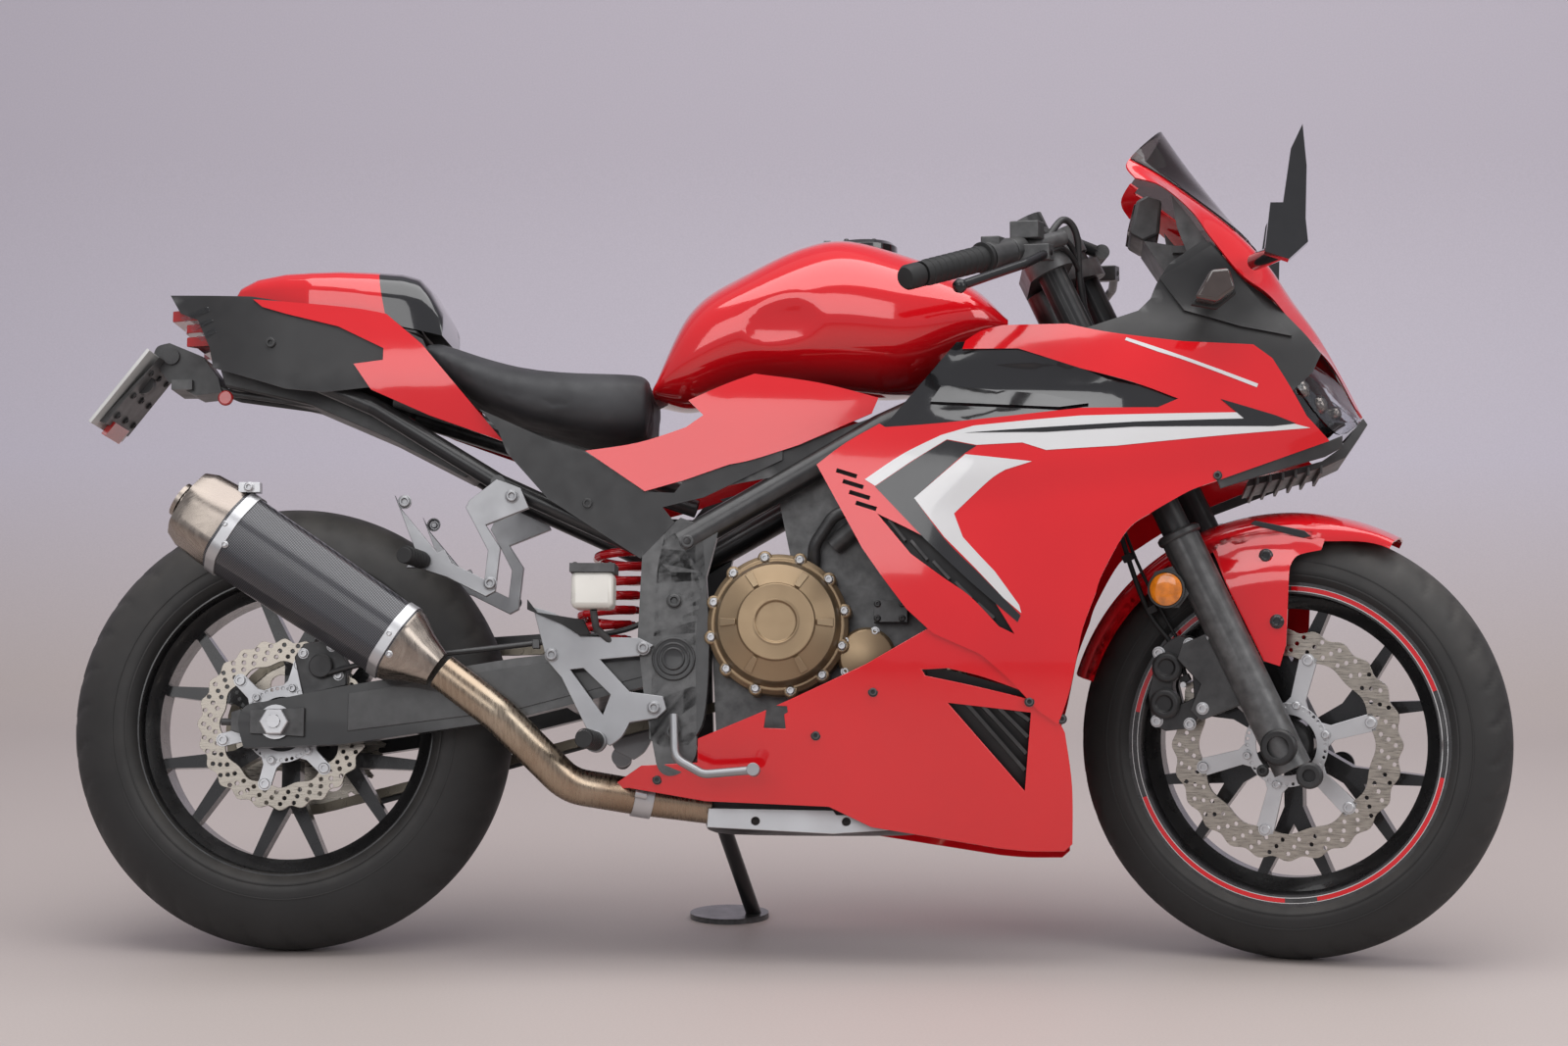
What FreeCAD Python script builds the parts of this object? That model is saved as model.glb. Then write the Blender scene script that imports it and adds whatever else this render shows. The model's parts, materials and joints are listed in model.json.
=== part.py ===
"""Sport bike on its side stand, leaning to its left with the bars turned to the right.

The bike is modelled upright with both wheels in line: X forward from the rear axle, Y to the
rider's left, Z up from the ground, millimetres. Steered pieces are then turned about the
steering axis, and the whole bike is leaned over and set down on both tyres and the stand.
"""
import FreeCAD, Part
import math
import os

import Sketcher
from FreeCAD import Placement, Rotation, Vector

SIZES = [
    # Chassis geometry
    ("wheelbase", 1410), ("rake", 25.5), ("trail", 102), ("lean", 12), ("steer_rest", 16),
    ("steer_stop", 32), ("seat_gap", 0.3), ("running_gap", 0.05),
    # Wheels and tyres
    ("front_tyre_radius", 300), ("front_tyre_width", 120),
    ("rear_tyre_radius", 312), ("rear_tyre_width", 160),
    ("rim_seat_radius", 216), ("rim_well_radius", 194), ("flange_height", 12),
    ("flange_width", 6), ("rim_wall", 8),
    ("front_rim_width", 92), ("rear_rim_width", 118),
    ("spoke_width", 26), ("spoke_fork_radius", 88), ("spoke_spread", 14), ("arm_width", 14),
    ("spoke_depth", 30),
    ("front_hub_radius", 36), ("rear_hub_radius", 48),
    ("front_axle_radius", 10), ("rear_axle_radius", 12),
    # Brake discs and final drive
    ("front_disc_radius", 160), ("front_disc_offset", 62), ("rear_disc_radius", 120),
    ("rear_disc_offset", 84), ("disc_thickness", 5), ("disc_band", 40), ("disc_hole_radius", 4),
    ("disc_waves", 20), ("disc_wave_depth", 4), ("link_pitch", 15.875), ("sprocket_teeth", 44),
    ("drive_teeth", 15), ("chain_line", 92), ("sprocket_thickness", 6), ("chain_height", 14),
    ("chain_plate", 2), ("roller_radius", 5), ("drive_x", 640), ("drive_height", 405),
    # Fork
    ("fork_spacing", 200), ("fork_tube_radius", 20.5), ("fork_slider_radius", 27),
    ("fork_offset", 37), ("fork_top", 1085), ("slider_top", 640), ("stem_radius", 15),
    ("head_tube_radius", 30), ("head_tube_low", 880), ("head_tube_high", 1040),
    ("yoke_thickness", 26), ("yoke_clamp_wall", 12), ("bar_radius", 11), ("grip_radius", 17),
    ("hose_radius", 3.5),
    # Structure
    ("spar_radius", 20), ("rail_radius", 13), ("pivot_x", 553), ("pivot_height", 400),
    ("pivot_radius", 12), ("arm_inner", 101), ("arm_wall", 26), ("plate_inner", 128),
    ("plate_wall", 18), ("spool_hole_radius", 4), ("spool_hole_depth", 18),
    # Engine
    ("case_half_width", 112), ("clutch_radius", 97), ("generator_radius", 84),
    ("cover_reach", 190), ("header_radius", 20), ("pipe_radius", 25),
    # Bodywork
    ("panel_wall", 3), ("flank_half_width", 228), ("tank_half_width", 152), ("tank_wall", 3),
    ("seat_half_width", 138), ("tail_half_width", 108), ("fender_gap", 20),
    # Silencer
    ("silencer_offset", 190), ("silencer_half_width", 52), ("silencer_half_height", 66),
    # Side stand
    ("stand_x", 585), ("stand_y", 122), ("stand_height", 232), ("stand_radius", 11),
    ("foot_x", 638), ("foot_y", 279), ("foot_radius", 58), ("foot_thickness", 8),
    ("stand_boss_width", 24), ("stand_boss_radius", 16), ("stand_pin_radius", 7),
]


class Size(float):
    """A size from the sheet: its number, and the expression text that gives it."""

    def __new__(cls, number, text):
        made = float.__new__(cls, number)
        made.text = text
        return made

    def joined(self, other, sign, number, swapped=False):
        other_text = getattr(other, "text", repr(float(other)))
        parts = (other_text, sign, self.text) if swapped else (self.text, sign, other_text)
        return Size(number, "(%s %s %s)" % parts)

    def __add__(self, other):
        return self.joined(other, "+", float(self) + float(other))

    def __radd__(self, other):
        return self.joined(other, "+", float(other) + float(self), True)

    def __sub__(self, other):
        return self.joined(other, "-", float(self) - float(other))

    def __rsub__(self, other):
        return self.joined(other, "-", float(other) - float(self), True)

    def __mul__(self, other):
        return self.joined(other, "*", float(self) * float(other))

    def __rmul__(self, other):
        return self.joined(other, "*", float(other) * float(self), True)

    def __truediv__(self, other):
        return self.joined(other, "/", float(self) / float(other))

    def __neg__(self):
        return self.joined(-1, "*", -float(self), True)


doc = FreeCAD.newDocument("SportBike")
sheet = doc.addObject("Spreadsheet::Sheet", "Sizes")


class Sizes:
    """Every driving dimension, by name."""


S = Sizes()
for row, (alias, number) in enumerate(SIZES, 1):
    sheet.set("A%d" % row, alias)
    sheet.set("B%d" % row, str(number))
    sheet.setAlias("B%d" % row, alias)
doc.recompute()
for alias, number in SIZES:
    setattr(S, alias, Size(sheet.get(alias), "Sizes." + alias))

LAYOUT_WHEELBASE = 1410.0
STRETCH = float(S.wheelbase) / LAYOUT_WHEELBASE
NODES = []


def sin(degrees):
    return math.sin(math.radians(degrees))


def cos(degrees):
    return math.cos(math.radians(degrees))


def at(x, y, z):
    """A point of the layout, where lengths along the bike follow its wheelbase."""
    return Vector(x * STRETCH, y, z)


def pitch_radius(teeth):
    """Where a chain's rollers run on a sprocket of so many teeth."""
    text = "(%s / 2 / sin(180deg / %s))" % (S.link_pitch.text, teeth.text)
    return Size(S.link_pitch / 2 / sin(180 / float(teeth)), text)


REAR_PITCH = pitch_radius(S.sprocket_teeth)
DRIVE_PITCH = pitch_radius(S.drive_teeth)

# Where the steering axis meets the ground, and its direction
HEAD_FOOT = Vector(S.wheelbase + S.trail, 0, 0)
HEAD_UP = Vector(-sin(S.rake), 0, cos(S.rake))
FORK_FRAME = Placement(HEAD_FOOT, Rotation(Vector(0, 1, 0), -float(S.rake)))


def steer(angle):
    """Turn about the steering axis; positive turns the wheel to the left."""
    turn = Rotation(HEAD_UP, angle)
    return Placement(HEAD_FOOT - turn.multVec(HEAD_FOOT), turn)


def tyre_low_point(centre, spin_axis, radius, width):
    """Height of the lowest point of a round-section tyre."""
    ring = radius - width / 2
    return centre.z - ring * math.sqrt(1 - spin_axis.z ** 2) - width / 2


def parked():
    """Lean the bike over and pitch it until both tyres stand on the ground."""
    steered = steer(-S.steer_rest)
    front_centre = steered.multVec(Vector(S.wheelbase, 0, S.front_tyre_radius))
    front_spin = steered.Rotation.multVec(Vector(0, 1, 0))
    rear_centre = Vector(0, 0, S.rear_tyre_radius)
    leaned = Rotation(Vector(1, 0, 0), -float(S.lean))
    pitch = 0.0
    for attempt in range(6):
        turn = Rotation(Vector(0, 1, 0), pitch).multiply(leaned)
        rear = tyre_low_point(turn.multVec(rear_centre), turn.multVec(Vector(0, 1, 0)),
                              S.rear_tyre_radius, S.rear_tyre_width)
        front = tyre_low_point(turn.multVec(front_centre), turn.multVec(front_spin),
                               S.front_tyre_radius, S.front_tyre_width)
        pitch += math.degrees(math.atan((front - rear) / float(S.wheelbase)))
    return Placement(Vector(0, 0, -rear), turn)


PARKED = parked()
STEERED = PARKED.multiply(steer(-S.steer_rest))
FRONT_WHEEL = STEERED.multiply(Placement(Vector(S.wheelbase, 0, S.front_tyre_radius), Rotation()))
REAR_WHEEL = PARKED.multiply(Placement(Vector(0, 0, S.rear_tyre_radius), Rotation()))
FORK = STEERED.multiply(FORK_FRAME)


# Shapes from outlines, runs and sections

def run_edge(points):
    """A straight edge through two points, a smooth one through more."""
    if len(points) == 2:
        return Part.LineSegment(points[0], points[1]).toShape()
    curve = Part.BSplineCurve()
    curve.interpolate(points)
    return curve.toShape()


def outlined_face(outline, place):
    """A face from an outline. A pair is a corner, a list of pairs a curve; place puts a pair."""
    here = place(*outline[0])
    edges = []
    for item in outline[1:] + [outline[0]]:
        pairs = item if isinstance(item, list) else [item]
        points = [here] + [place(*pair) for pair in pairs]
        edges.append(run_edge(points))
        here = points[-1]
    return Part.Face(Part.Wire(edges))


def side_prism(outline, y_from, y_to):
    """An outline of the side view, between two distances from the middle."""
    face = outlined_face(outline, lambda x, z: at(x, y_from, z))
    return face.extrude(Vector(0, y_to - y_from, 0))


def plan_prism(outline, z_from, z_to):
    """An outline of the plan view, between two heights."""
    face = outlined_face(outline, lambda x, y: at(x, y, z_from))
    return face.extrude(Vector(0, 0, z_to - z_from))


def strap(circles, axis, depth):
    """A flat bar of rounded eyes: each circle (centre, radius) joined to the next by its tangents."""
    pieces = [Part.makeCylinder(radius, depth, centre, axis) for centre, radius in circles]
    for (first, big), (second, small) in zip(circles, circles[1:]):
        along = second - first
        swing = math.degrees(math.acos((big - small) / along.Length))
        sides = [Rotation(axis, turn).multVec(along).normalize() for turn in (swing, -swing)]
        corners = [first + sides[0] * big, second + sides[0] * small,
                   second + sides[1] * small, first + sides[1] * big]
        web = Part.Face(Part.makePolygon(corners + corners[:1]))
        pieces.append(web.extrude(Vector(axis) * float(depth)))
    return pieces[0].fuse(pieces[1:]).removeSplitter()


def seated(shape, *carriers):
    """What is left of a piece where its carriers are, face to face with them."""
    for carrier in carriers:
        shape = shape.cut(carrier)
    return max(shape.Solids, key=lambda solid: solid.Volume)


def height_on(run, x):
    """The height of a run of (x, height) points at one place."""
    for (x_low, z_low), (x_high, z_high) in zip(run, run[1:]):
        if x_low <= x <= x_high:
            return z_low + (z_high - z_low) * (x - x_low) / (x_high - x_low)
    return run[-1][1]


def mirrored(shape):
    return shape.mirror(Vector(0, 0, 0), Vector(0, 1, 0))


def both_sides(shape):
    return Part.makeCompound([shape, mirrored(shape)])


def cylinder(start, end, radius):
    axis = end - start
    return Part.makeCylinder(radius, axis.Length, start, axis)


def tube(points, radius, bend):
    """A round bar along straight runs joined by arcs of one bend radius."""
    edges = []
    here = points[0]
    for before, corner, after in zip(points, points[1:], points[2:]):
        back = (before - corner).normalize()
        ahead = (after - corner).normalize()
        half = back.getAngle(ahead) / 2
        reach = bend / math.tan(half)
        entry = corner + back * reach
        leave = corner + ahead * reach
        inward = (back + ahead).normalize()
        middle = corner + inward * (bend / math.sin(half) - bend)
        edges.append(Part.LineSegment(here, entry).toShape())
        edges.append(Part.Arc(entry, middle, leave).toShape())
        here = leave
    edges.append(Part.LineSegment(here, points[-1]).toShape())
    path = Part.Wire(edges)
    section = Part.Wire(Part.makeCircle(radius, points[0], points[1] - points[0]))
    return path.makePipeShell([section], True, True)


def section_ring(centre, half_width, half_height, squareness=2.6, tilt=0.0, count=12):
    """A rounded section across the bike, as a closed smooth wire."""
    points = []
    for step in range(count):
        angle = 360.0 * step / count
        side = math.copysign(abs(cos(angle)) ** (2 / squareness), cos(angle)) * half_width
        rise = math.copysign(abs(sin(angle)) ** (2 / squareness), sin(angle)) * half_height
        points.append(centre + Vector(-rise * sin(tilt), side, rise * cos(tilt)))
    curve = Part.BSplineCurve()
    curve.interpolate(Points=points, PeriodicFlag=True)
    return Part.Wire([curve.toShape()])


def spread(first, last, count):
    return [first + (last - first) * step / (count - 1) for step in range(count)]


def skin(half_width, x_range, z_range, wall, count=8):
    """A wall on the right side whose outer face lies half_width(x, z) from the middle."""
    grid = [[at(x, -half_width(x, z), z) for z in spread(z_range[0], z_range[1], count)]
            for x in spread(x_range[0], x_range[1], count)]
    surface = Part.BSplineSurface()
    surface.interpolate(grid)
    return surface.toShape().extrude(Vector(0, wall, 0))


def skin_panel(outline, half_width, wall):
    """The part of a curved side wall that lies within an outline of the side view."""
    pairs = []
    for item in outline:
        pairs += item if isinstance(item, list) else [item]
    margin = 30
    x_range = (min(x for x, z in pairs) - margin, max(x for x, z in pairs) + margin)
    z_range = (min(z for x, z in pairs) - margin, max(z for x, z in pairs) + margin)
    sheet_wall = skin(half_width, x_range, z_range, wall)
    return seated(sheet_wall.common(side_prism(outline, -400, 0)))


def panel_stud(half_width, x, z, y_from, radius=7):
    """A stud on the right that ends just inside a panel, at its lowest point over the stud."""
    rim = [half_width(x + dx, z + dz) for dx in (-radius, radius) for dz in (-radius, radius)]
    reach = min(rim) - S.panel_wall - S.seat_gap
    return cylinder(at(x, -y_from, z), at(x, -reach, z), radius)


# Objects of the document

def keep_shape(name, shape, frame=PARKED):
    """A sub-part whose shape is worked out here from the sizes."""
    part = doc.addObject("Part::Feature", name)
    part.Label = name
    part.Shape = shape
    part.Placement = frame
    NODES.append(part)
    return part


def bind(thing, **sizes):
    for prop, size in sizes.items():
        if hasattr(size, "text"):
            thing.setExpression(prop, size.text)
        else:
            setattr(thing, prop, size)
    return thing


def new_body(name, frame):
    body = doc.addObject("PartDesign::Body", name)
    body.Label = name
    body.Placement = frame
    NODES.append(body)
    return body


def origin_part(body, role):
    return [item for item in body.Origin.OriginFeatures if item.Role == role][0]


def new_sketch(body, name, role):
    sketch = body.newObject("Sketcher::SketchObject", name)
    sketch.AttachmentSupport = [(origin_part(body, role), "")]
    sketch.MapMode = "FlatFace"
    return sketch


def pin_value(sketch, kind, geometry, point, size):
    index = sketch.addConstraint(Sketcher.Constraint(kind, -1, 1, geometry, point, float(size)))
    if hasattr(size, "text"):
        sketch.setExpression("Constraints[%d]" % index, size.text)


def draw_polygon(sketch, corners):
    """A closed outline whose corners are bound to sizes."""
    first = sketch.GeometryCount
    count = len(corners)
    ends = corners[1:] + corners[:1]
    for start, end in zip(corners, ends):
        line = Part.LineSegment(Vector(start[0], start[1], 0), Vector(end[0], end[1], 0))
        sketch.addGeometry(line, False)
    for step in range(count):
        after = first + (step + 1) % count
        sketch.addConstraint(Sketcher.Constraint("Coincident", first + step, 2, after, 1))
    for step, corner in enumerate(corners):
        pin_value(sketch, "DistanceX", first + step, 1, corner[0])
        pin_value(sketch, "DistanceY", first + step, 1, corner[1])


def draw_circle(sketch, x, y, radius):
    circle = Part.Circle(Vector(x, y, 0), Vector(0, 0, 1), float(radius))
    index = sketch.addGeometry(circle, False)
    pin_value(sketch, "DistanceX", index, 3, x)
    pin_value(sketch, "DistanceY", index, 3, y)
    size = sketch.addConstraint(Sketcher.Constraint("Radius", index, float(radius)))
    if hasattr(radius, "text"):
        sketch.setExpression("Constraints[%d]" % size, radius.text)


def revolve(body, name, corners):
    """Turn a section, given as (radius, offset along the axle), about the wheel's axle."""
    sketch = new_sketch(body, name + "_section", "XY_Plane")
    draw_polygon(sketch, corners)
    turned = body.newObject("PartDesign::Revolution", name)
    turned.Profile = sketch
    turned.ReferenceAxis = (sketch, ["V_Axis"])
    turned.Angle = 360
    return turned


def repeat_round(body, feature, name, count):
    pattern = body.newObject("PartDesign::PolarPattern", name)
    pattern.Originals = [feature]
    pattern.Axis = (origin_part(body, "Y_Axis"), [""])
    pattern.Angle = 360
    pattern.Occurrences = count
    body.Tip = pattern
    return pattern


# Wheels, tyres and discs

def build_rim(name, frame, rim_width, hub_radius, hub_half, axle_radius):
    """A cast rim: barrel with bead seats and well, hub, and six forked spokes."""
    body = new_body(name, frame)
    half = rim_width / 2
    seat = S.rim_seat_radius
    well = S.rim_well_radius
    lip = seat + S.flange_height
    outside = half + S.flange_width
    drop = half - 16
    well_half = drop - 12
    under = well - S.rim_wall
    revolve(body, name + "_barrel", [
        (lip, outside), (lip, half), (seat, half), (seat, drop), (well, well_half),
        (well, -well_half), (seat, -drop), (seat, -half), (lip, -half), (lip, -outside),
        (seat - 8, -outside), (seat - 12, -drop), (under, -well_half + 2),
        (under, well_half - 2), (seat - 12, drop), (seat - 8, outside)])
    bore = axle_radius + S.running_gap
    revolve(body, name + "_hub", [
        (bore, hub_half), (hub_radius - 6, hub_half), (hub_radius, hub_half - 8),
        (hub_radius, 8 - hub_half), (hub_radius - 6, -hub_half), (bore, -hub_half)])
    sketch = new_sketch(body, name + "_spoke_outline", "XZ_Plane")
    stem = S.spoke_width / 2
    root = hub_radius - 4
    split = S.spoke_fork_radius
    tip = S.rim_well_radius - S.rim_wall / 2
    side = tip * sin(S.spoke_spread)
    rise = tip * cos(S.spoke_spread)
    arm = S.arm_width / 2
    draw_polygon(sketch, [
        (-stem, root), (-stem, split), (-side - arm, rise - 3), (-side + arm, rise),
        (0, split + 24), (side - arm, rise), (side + arm, rise - 3), (stem, split),
        (stem, root)])
    spoke = body.newObject("PartDesign::Pad", name + "_spoke")
    spoke.Profile = sketch
    spoke.Midplane = True
    bind(spoke, Length=S.spoke_depth)
    repeat_round(body, spoke, name + "_spokes", 6)
    return body


def build_tyre(name, frame, radius, width, rim_width):
    """A tyre: round crown made of narrow bands, beads between the rim's flanges."""
    body = new_body(name, frame)
    half_rim = rim_width / 2
    seat = S.rim_seat_radius
    lip = seat + S.flange_height
    section = width / 2
    ring = radius - section
    crown = [(ring + section * cos(angle), section * sin(angle))
             for angle in (-90, -64, -40, -20, 0, 20, 40, 64, 90)]
    bead = [(lip + 1, half_rim - 1), (seat, half_rim - 1), (seat, 1 - half_rim), (lip + 1, 1 - half_rim)]
    revolve(body, name + "_section", crown + bead)
    return body


def build_disc(name, frame, radius, offset, hub_radius, bolts):
    """A brake disc with rows of holes, on a carrier of narrow arms."""
    body = new_body(name, frame)
    inner = radius - S.disc_band
    near = offset - S.disc_thickness / 2
    far = offset + S.disc_thickness / 2
    revolve(body, name + "_band", [(inner, near), (radius, near), (radius, far), (inner, far)])
    revolve(body, name + "_carrier", [
        (hub_radius, near), (hub_radius + 22, near), (hub_radius + 22, far), (hub_radius, far)])
    arms = new_sketch(body, name + "_arm_outline", "XZ_Plane")
    half = Size(8, "8")
    draw_polygon(arms, [(-half, hub_radius + 12), (half, hub_radius + 12),
                        (half, inner + 8), (-half, inner + 8)])
    arm = body.newObject("PartDesign::Pad", name + "_arm")
    arm.Profile = arms
    arm.Reversed = True
    bind(arm, Length=S.disc_thickness)
    arms.AttachmentOffset = Placement(Vector(0, 0, 0), Rotation())
    arms.setExpression("AttachmentOffset.Base.z", (-near).text)
    repeat_round(body, arm, name + "_arms", bolts)
    return body


def build_wheels():
    build_rim("front_rim", FRONT_WHEEL, S.front_rim_width, S.front_hub_radius,
              S.front_disc_offset - S.disc_thickness / 2, S.front_axle_radius)
    build_tyre("front_tyre", FRONT_WHEEL, S.front_tyre_radius, S.front_tyre_width,
               S.front_rim_width)
    build_rim("rear_rim", REAR_WHEEL, S.rear_rim_width, S.rear_hub_radius,
              S.rear_disc_offset - S.disc_thickness / 2, S.rear_axle_radius)
    build_disc("front_disc", FRONT_WHEEL, S.front_disc_radius, -S.front_disc_offset, S.front_hub_radius - 8, 6)
    build_disc("rear_disc", REAR_WHEEL, S.rear_disc_radius, -S.rear_disc_offset, S.rear_hub_radius - 8, 6)
    build_tyre("rear_tyre", REAR_WHEEL, S.rear_tyre_radius, S.rear_tyre_width,
               S.rear_rim_width)


def build_sprocket():
    """The rear sprocket: a toothed ring with a carrier, left of the wheel."""
    body = new_body("rear_sprocket", REAR_WHEEL)
    near = S.chain_line - S.sprocket_thickness / 2
    far = S.chain_line + S.sprocket_thickness / 2
    band = REAR_PITCH - 26
    revolve(body, "sprocket_band", [
        (band, near), (REAR_PITCH, near), (REAR_PITCH, far), (band, far)])
    hub = S.rear_hub_radius
    half = S.rear_disc_offset - S.disc_thickness / 2
    revolve(body, "sprocket_carrier", [
        (hub - 10, half), (hub + 12, half), (hub + 12, near), (band + 4, near), (band + 4, far),
        (hub - 10, far)])
    return body


# Fork, steering and front brake

def build_fork():
    half = S.fork_spacing / 2
    legs = []
    axle_height = HEAD_FOOT.z
    low = FORK_FRAME.inverse().multVec(Vector(S.wheelbase, 0, S.front_tyre_radius))
    for side in (-1, 1):
        foot = Vector(S.fork_offset, side * half, low.z)
        slider = cylinder(foot - Vector(0, 0, 34), Vector(foot.x, foot.y, S.slider_top), S.fork_slider_radius)
        tube_bar = cylinder(Vector(foot.x, foot.y, S.slider_top), Vector(foot.x, foot.y, S.fork_top), S.fork_tube_radius)
        legs.append(slider.fuse(tube_bar))
    axle = Part.makeCylinder(S.front_axle_radius, S.fork_spacing, Vector(low.x, -half, low.z), Vector(0, 1, 0))
    shape = legs[0].fuse([legs[1], axle])
    keep_shape("fork_legs", shape, FORK)

    upper = S.head_tube_high + 2
    lower = S.head_tube_low - 2 - S.yoke_thickness
    plates = []
    for height in (upper, lower):
        eye = S.fork_tube_radius + S.yoke_clamp_wall
        eyes = [(Vector(S.fork_offset, -half, height), eye), (Vector(0, 0, height), 30),
                (Vector(S.fork_offset, half, height), eye)]
        plate = strap(eyes, Vector(0, 0, 1), S.yoke_thickness)
        for side in (-1, 1):
            plate = plate.cut(Part.makeCylinder(S.fork_tube_radius, 200, Vector(S.fork_offset, side * half, height - 50)))
        plates.append(plate)
    stem = Part.makeCylinder(S.stem_radius, upper - lower, Vector(0, 0, lower))
    keep_shape("yokes", plates[0].fuse([plates[1], stem]), FORK)


def fork_point(x, y, z):
    """A point given upright in the side view, in the fork's own frame."""
    return FORK_FRAME.inverse().multVec(at(x, y, z))


def build_bars():
    bars, grips, levers = [], [], []
    for side in (-1, 1):
        inner = at(1118, side * 122, 1004)
        end = at(985, side * 372, 941)
        along = (end - inner).normalize()
        top = FORK_FRAME.multVec(Vector(S.fork_offset, side * S.fork_spacing / 2, S.fork_top))
        bar = cylinder(inner, end, S.bar_radius)
        clamp = cylinder(top, top + HEAD_UP * 42, 24)
        bars.append(clamp.fuse(cylinder(top + HEAD_UP * 31, inner + along * 10, 9)).fuse(bar))
        grip_start = end - along * 128
        sleeve = cylinder(grip_start, end - along * 2, S.grip_radius)
        grips.append(sleeve.cut(cylinder(grip_start - along * 5, end + along * 5, S.bar_radius)))
        lever_pivot = inner + along * 70 + Vector(46, 0, -14)
        lever_tip = end + Vector(62, 0, -22)
        lever = tube([lever_pivot, lever_pivot + (lever_tip - lever_pivot) * 0.3 + Vector(12, 0, 0), lever_tip], 6, 60)
        perch_ring = cylinder(inner + along * 62, inner + along * 84, 16)
        perch_ring = perch_ring.cut(cylinder(inner + along * 50, inner + along * 100, S.bar_radius))
        perch = perch_ring.fuse(cylinder(inner + along * 73 + Vector(14, 0, -3), lever_pivot, 9))
        levers.append(perch.fuse(lever).cut(bar))
    keep_shape("handlebars", Part.makeCompound(bars), STEERED)
    keep_shape("grips", Part.makeCompound(grips), STEERED)
    keep_shape("hand_levers", Part.makeCompound(levers), STEERED)


def build_front_fender():
    """A hugger over the front tyre, between the fork legs."""
    outer = S.front_tyre_radius + 20
    wall = S.panel_wall
    half = 70
    edge = outer - 62
    shoulder = outer - 28
    crown = 36
    rim = [(edge, -half), (shoulder, -half), (outer, -crown), (outer, crown), (shoulder, half),
           (edge, half), (edge, half - wall), (shoulder - 1, half - wall),
           (outer - wall, crown - 1), (outer - wall, 1 - crown), (shoulder - 1, wall - half),
           (edge, wall - half)]
    start = -162
    sweep = 100
    corners = [Vector(radius * cos(start), y, -radius * sin(start)) for radius, y in rim]
    centre = Vector(S.wheelbase, 0, S.front_tyre_radius)
    section = Part.Face(Part.makePolygon([centre + corner for corner in corners + corners[:1]]))
    keep_shape("front_fender", section.revolve(centre, Vector(0, 1, 0), sweep), STEERED)


def build_front_caliper():
    centre = Vector(S.wheelbase, 0, S.front_tyre_radius)
    outline = [(1233, 411), (1268, 452), (1300, 430), (1300, 357), (1275, 323), (1229, 329)]
    outer = side_prism(outline, -S.front_disc_offset - 32, -S.front_disc_offset - 1)
    inside_rim = Part.makeCylinder(S.rim_well_radius - S.rim_wall - 8, 60, centre - Vector(0, 80, 0),
                                   Vector(0, 1, 0))
    inner = side_prism(outline, -S.front_disc_offset - 1, 26 - S.front_disc_offset).common(inside_rim)
    body = outer.fuse(inner)
    slot = Part.makeCylinder(S.front_disc_radius + 5, S.disc_thickness + 3,
                             centre - Vector(0, S.front_disc_offset + S.disc_thickness / 2 + 1.5, 0), Vector(0, 1, 0))
    keep_shape("front_caliper", body.cut(slot), STEERED)


# Frame and running gear of the root

def stand_axis():
    """The side stand's hinge: its pivot, and the direction it folds back about."""
    pivot = at(S.stand_x, S.stand_y, S.stand_height)
    down_leg = at(S.foot_x, S.foot_y, 62) - pivot
    folded_leg = Vector(-230, 30, 0)
    return pivot, down_leg.cross(folded_leg).normalize()


def stand_bracket():
    """Two cheeks with a pin, on arms from the frame's lower cross tube."""
    pivot, hinge = stand_axis()
    near = S.stand_boss_width / 2 + S.seat_gap
    cheek = 7
    pieces = [cylinder(pivot - hinge * (near + cheek), pivot + hinge * (near + cheek), S.stand_pin_radius)]
    for side in (-1, 1):
        pieces.append(cylinder(pivot + hinge * (side * near), pivot + hinge * (side * (near + cheek)), 15))
    upper = pivot + hinge * (near + cheek)
    lower = pivot - hinge * (near + cheek)
    pieces.append(cylinder(upper, at(560, 137, 258), 6.5))
    pieces.append(tube([lower, lower + at(-28, 0, 4), at(556, 104, 262)], 6.5, 12))
    return pieces[0].fuse(pieces[1:])


def build_frame():
    head_low = HEAD_FOOT + HEAD_UP * float(S.head_tube_low)
    head_high = HEAD_FOOT + HEAD_UP * float(S.head_tube_high)
    head = cylinder(head_low, head_high, S.head_tube_radius)
    parts = []
    plate_outline = [(508, 555), (565, 590), (612, 575), (596, 512), [(584, 445), (585, 337), (585, 283)],
                     [(575, 252), (548, 240), (530, 262)], (514, 340), (503, 431)]
    middle = S.plate_inner + 4
    for side in (-1, 1):
        spar = tube([head_low + HEAD_UP * 72, at(990, side * 112, 797), at(835, side * middle, 722),
                     at(560, side * middle, 562)], S.spar_radius, 60)
        lower = tube([head_low + HEAD_UP * 46, at(1000, side * 104, 742), at(820, side * middle, 690)],
                     14, 50)
        parts += [spar, lower]
    plate = side_prism(plate_outline, -S.plate_inner - S.plate_wall, -S.plate_inner)
    parts += [plate, mirrored(plate)]
    for x, z in ((552, 548), (556, 268)):
        parts.append(cylinder(at(x, -S.plate_inner, z), at(x, S.plate_inner, z), 14))
    frame = head.fuse(parts)
    frame = frame.cut(cylinder(HEAD_FOOT + HEAD_UP * (S.head_tube_low - 10), HEAD_FOOT + HEAD_UP * (S.head_tube_high + 10),
                               S.stem_radius + S.running_gap))
    pivot = cylinder(at(S.pivot_x, -200, S.pivot_height), at(S.pivot_x, 200, S.pivot_height), S.pivot_radius)
    frame = frame.cut(pivot).fuse(stand_bracket())
    keep_shape("frame", frame)
    return frame


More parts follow.
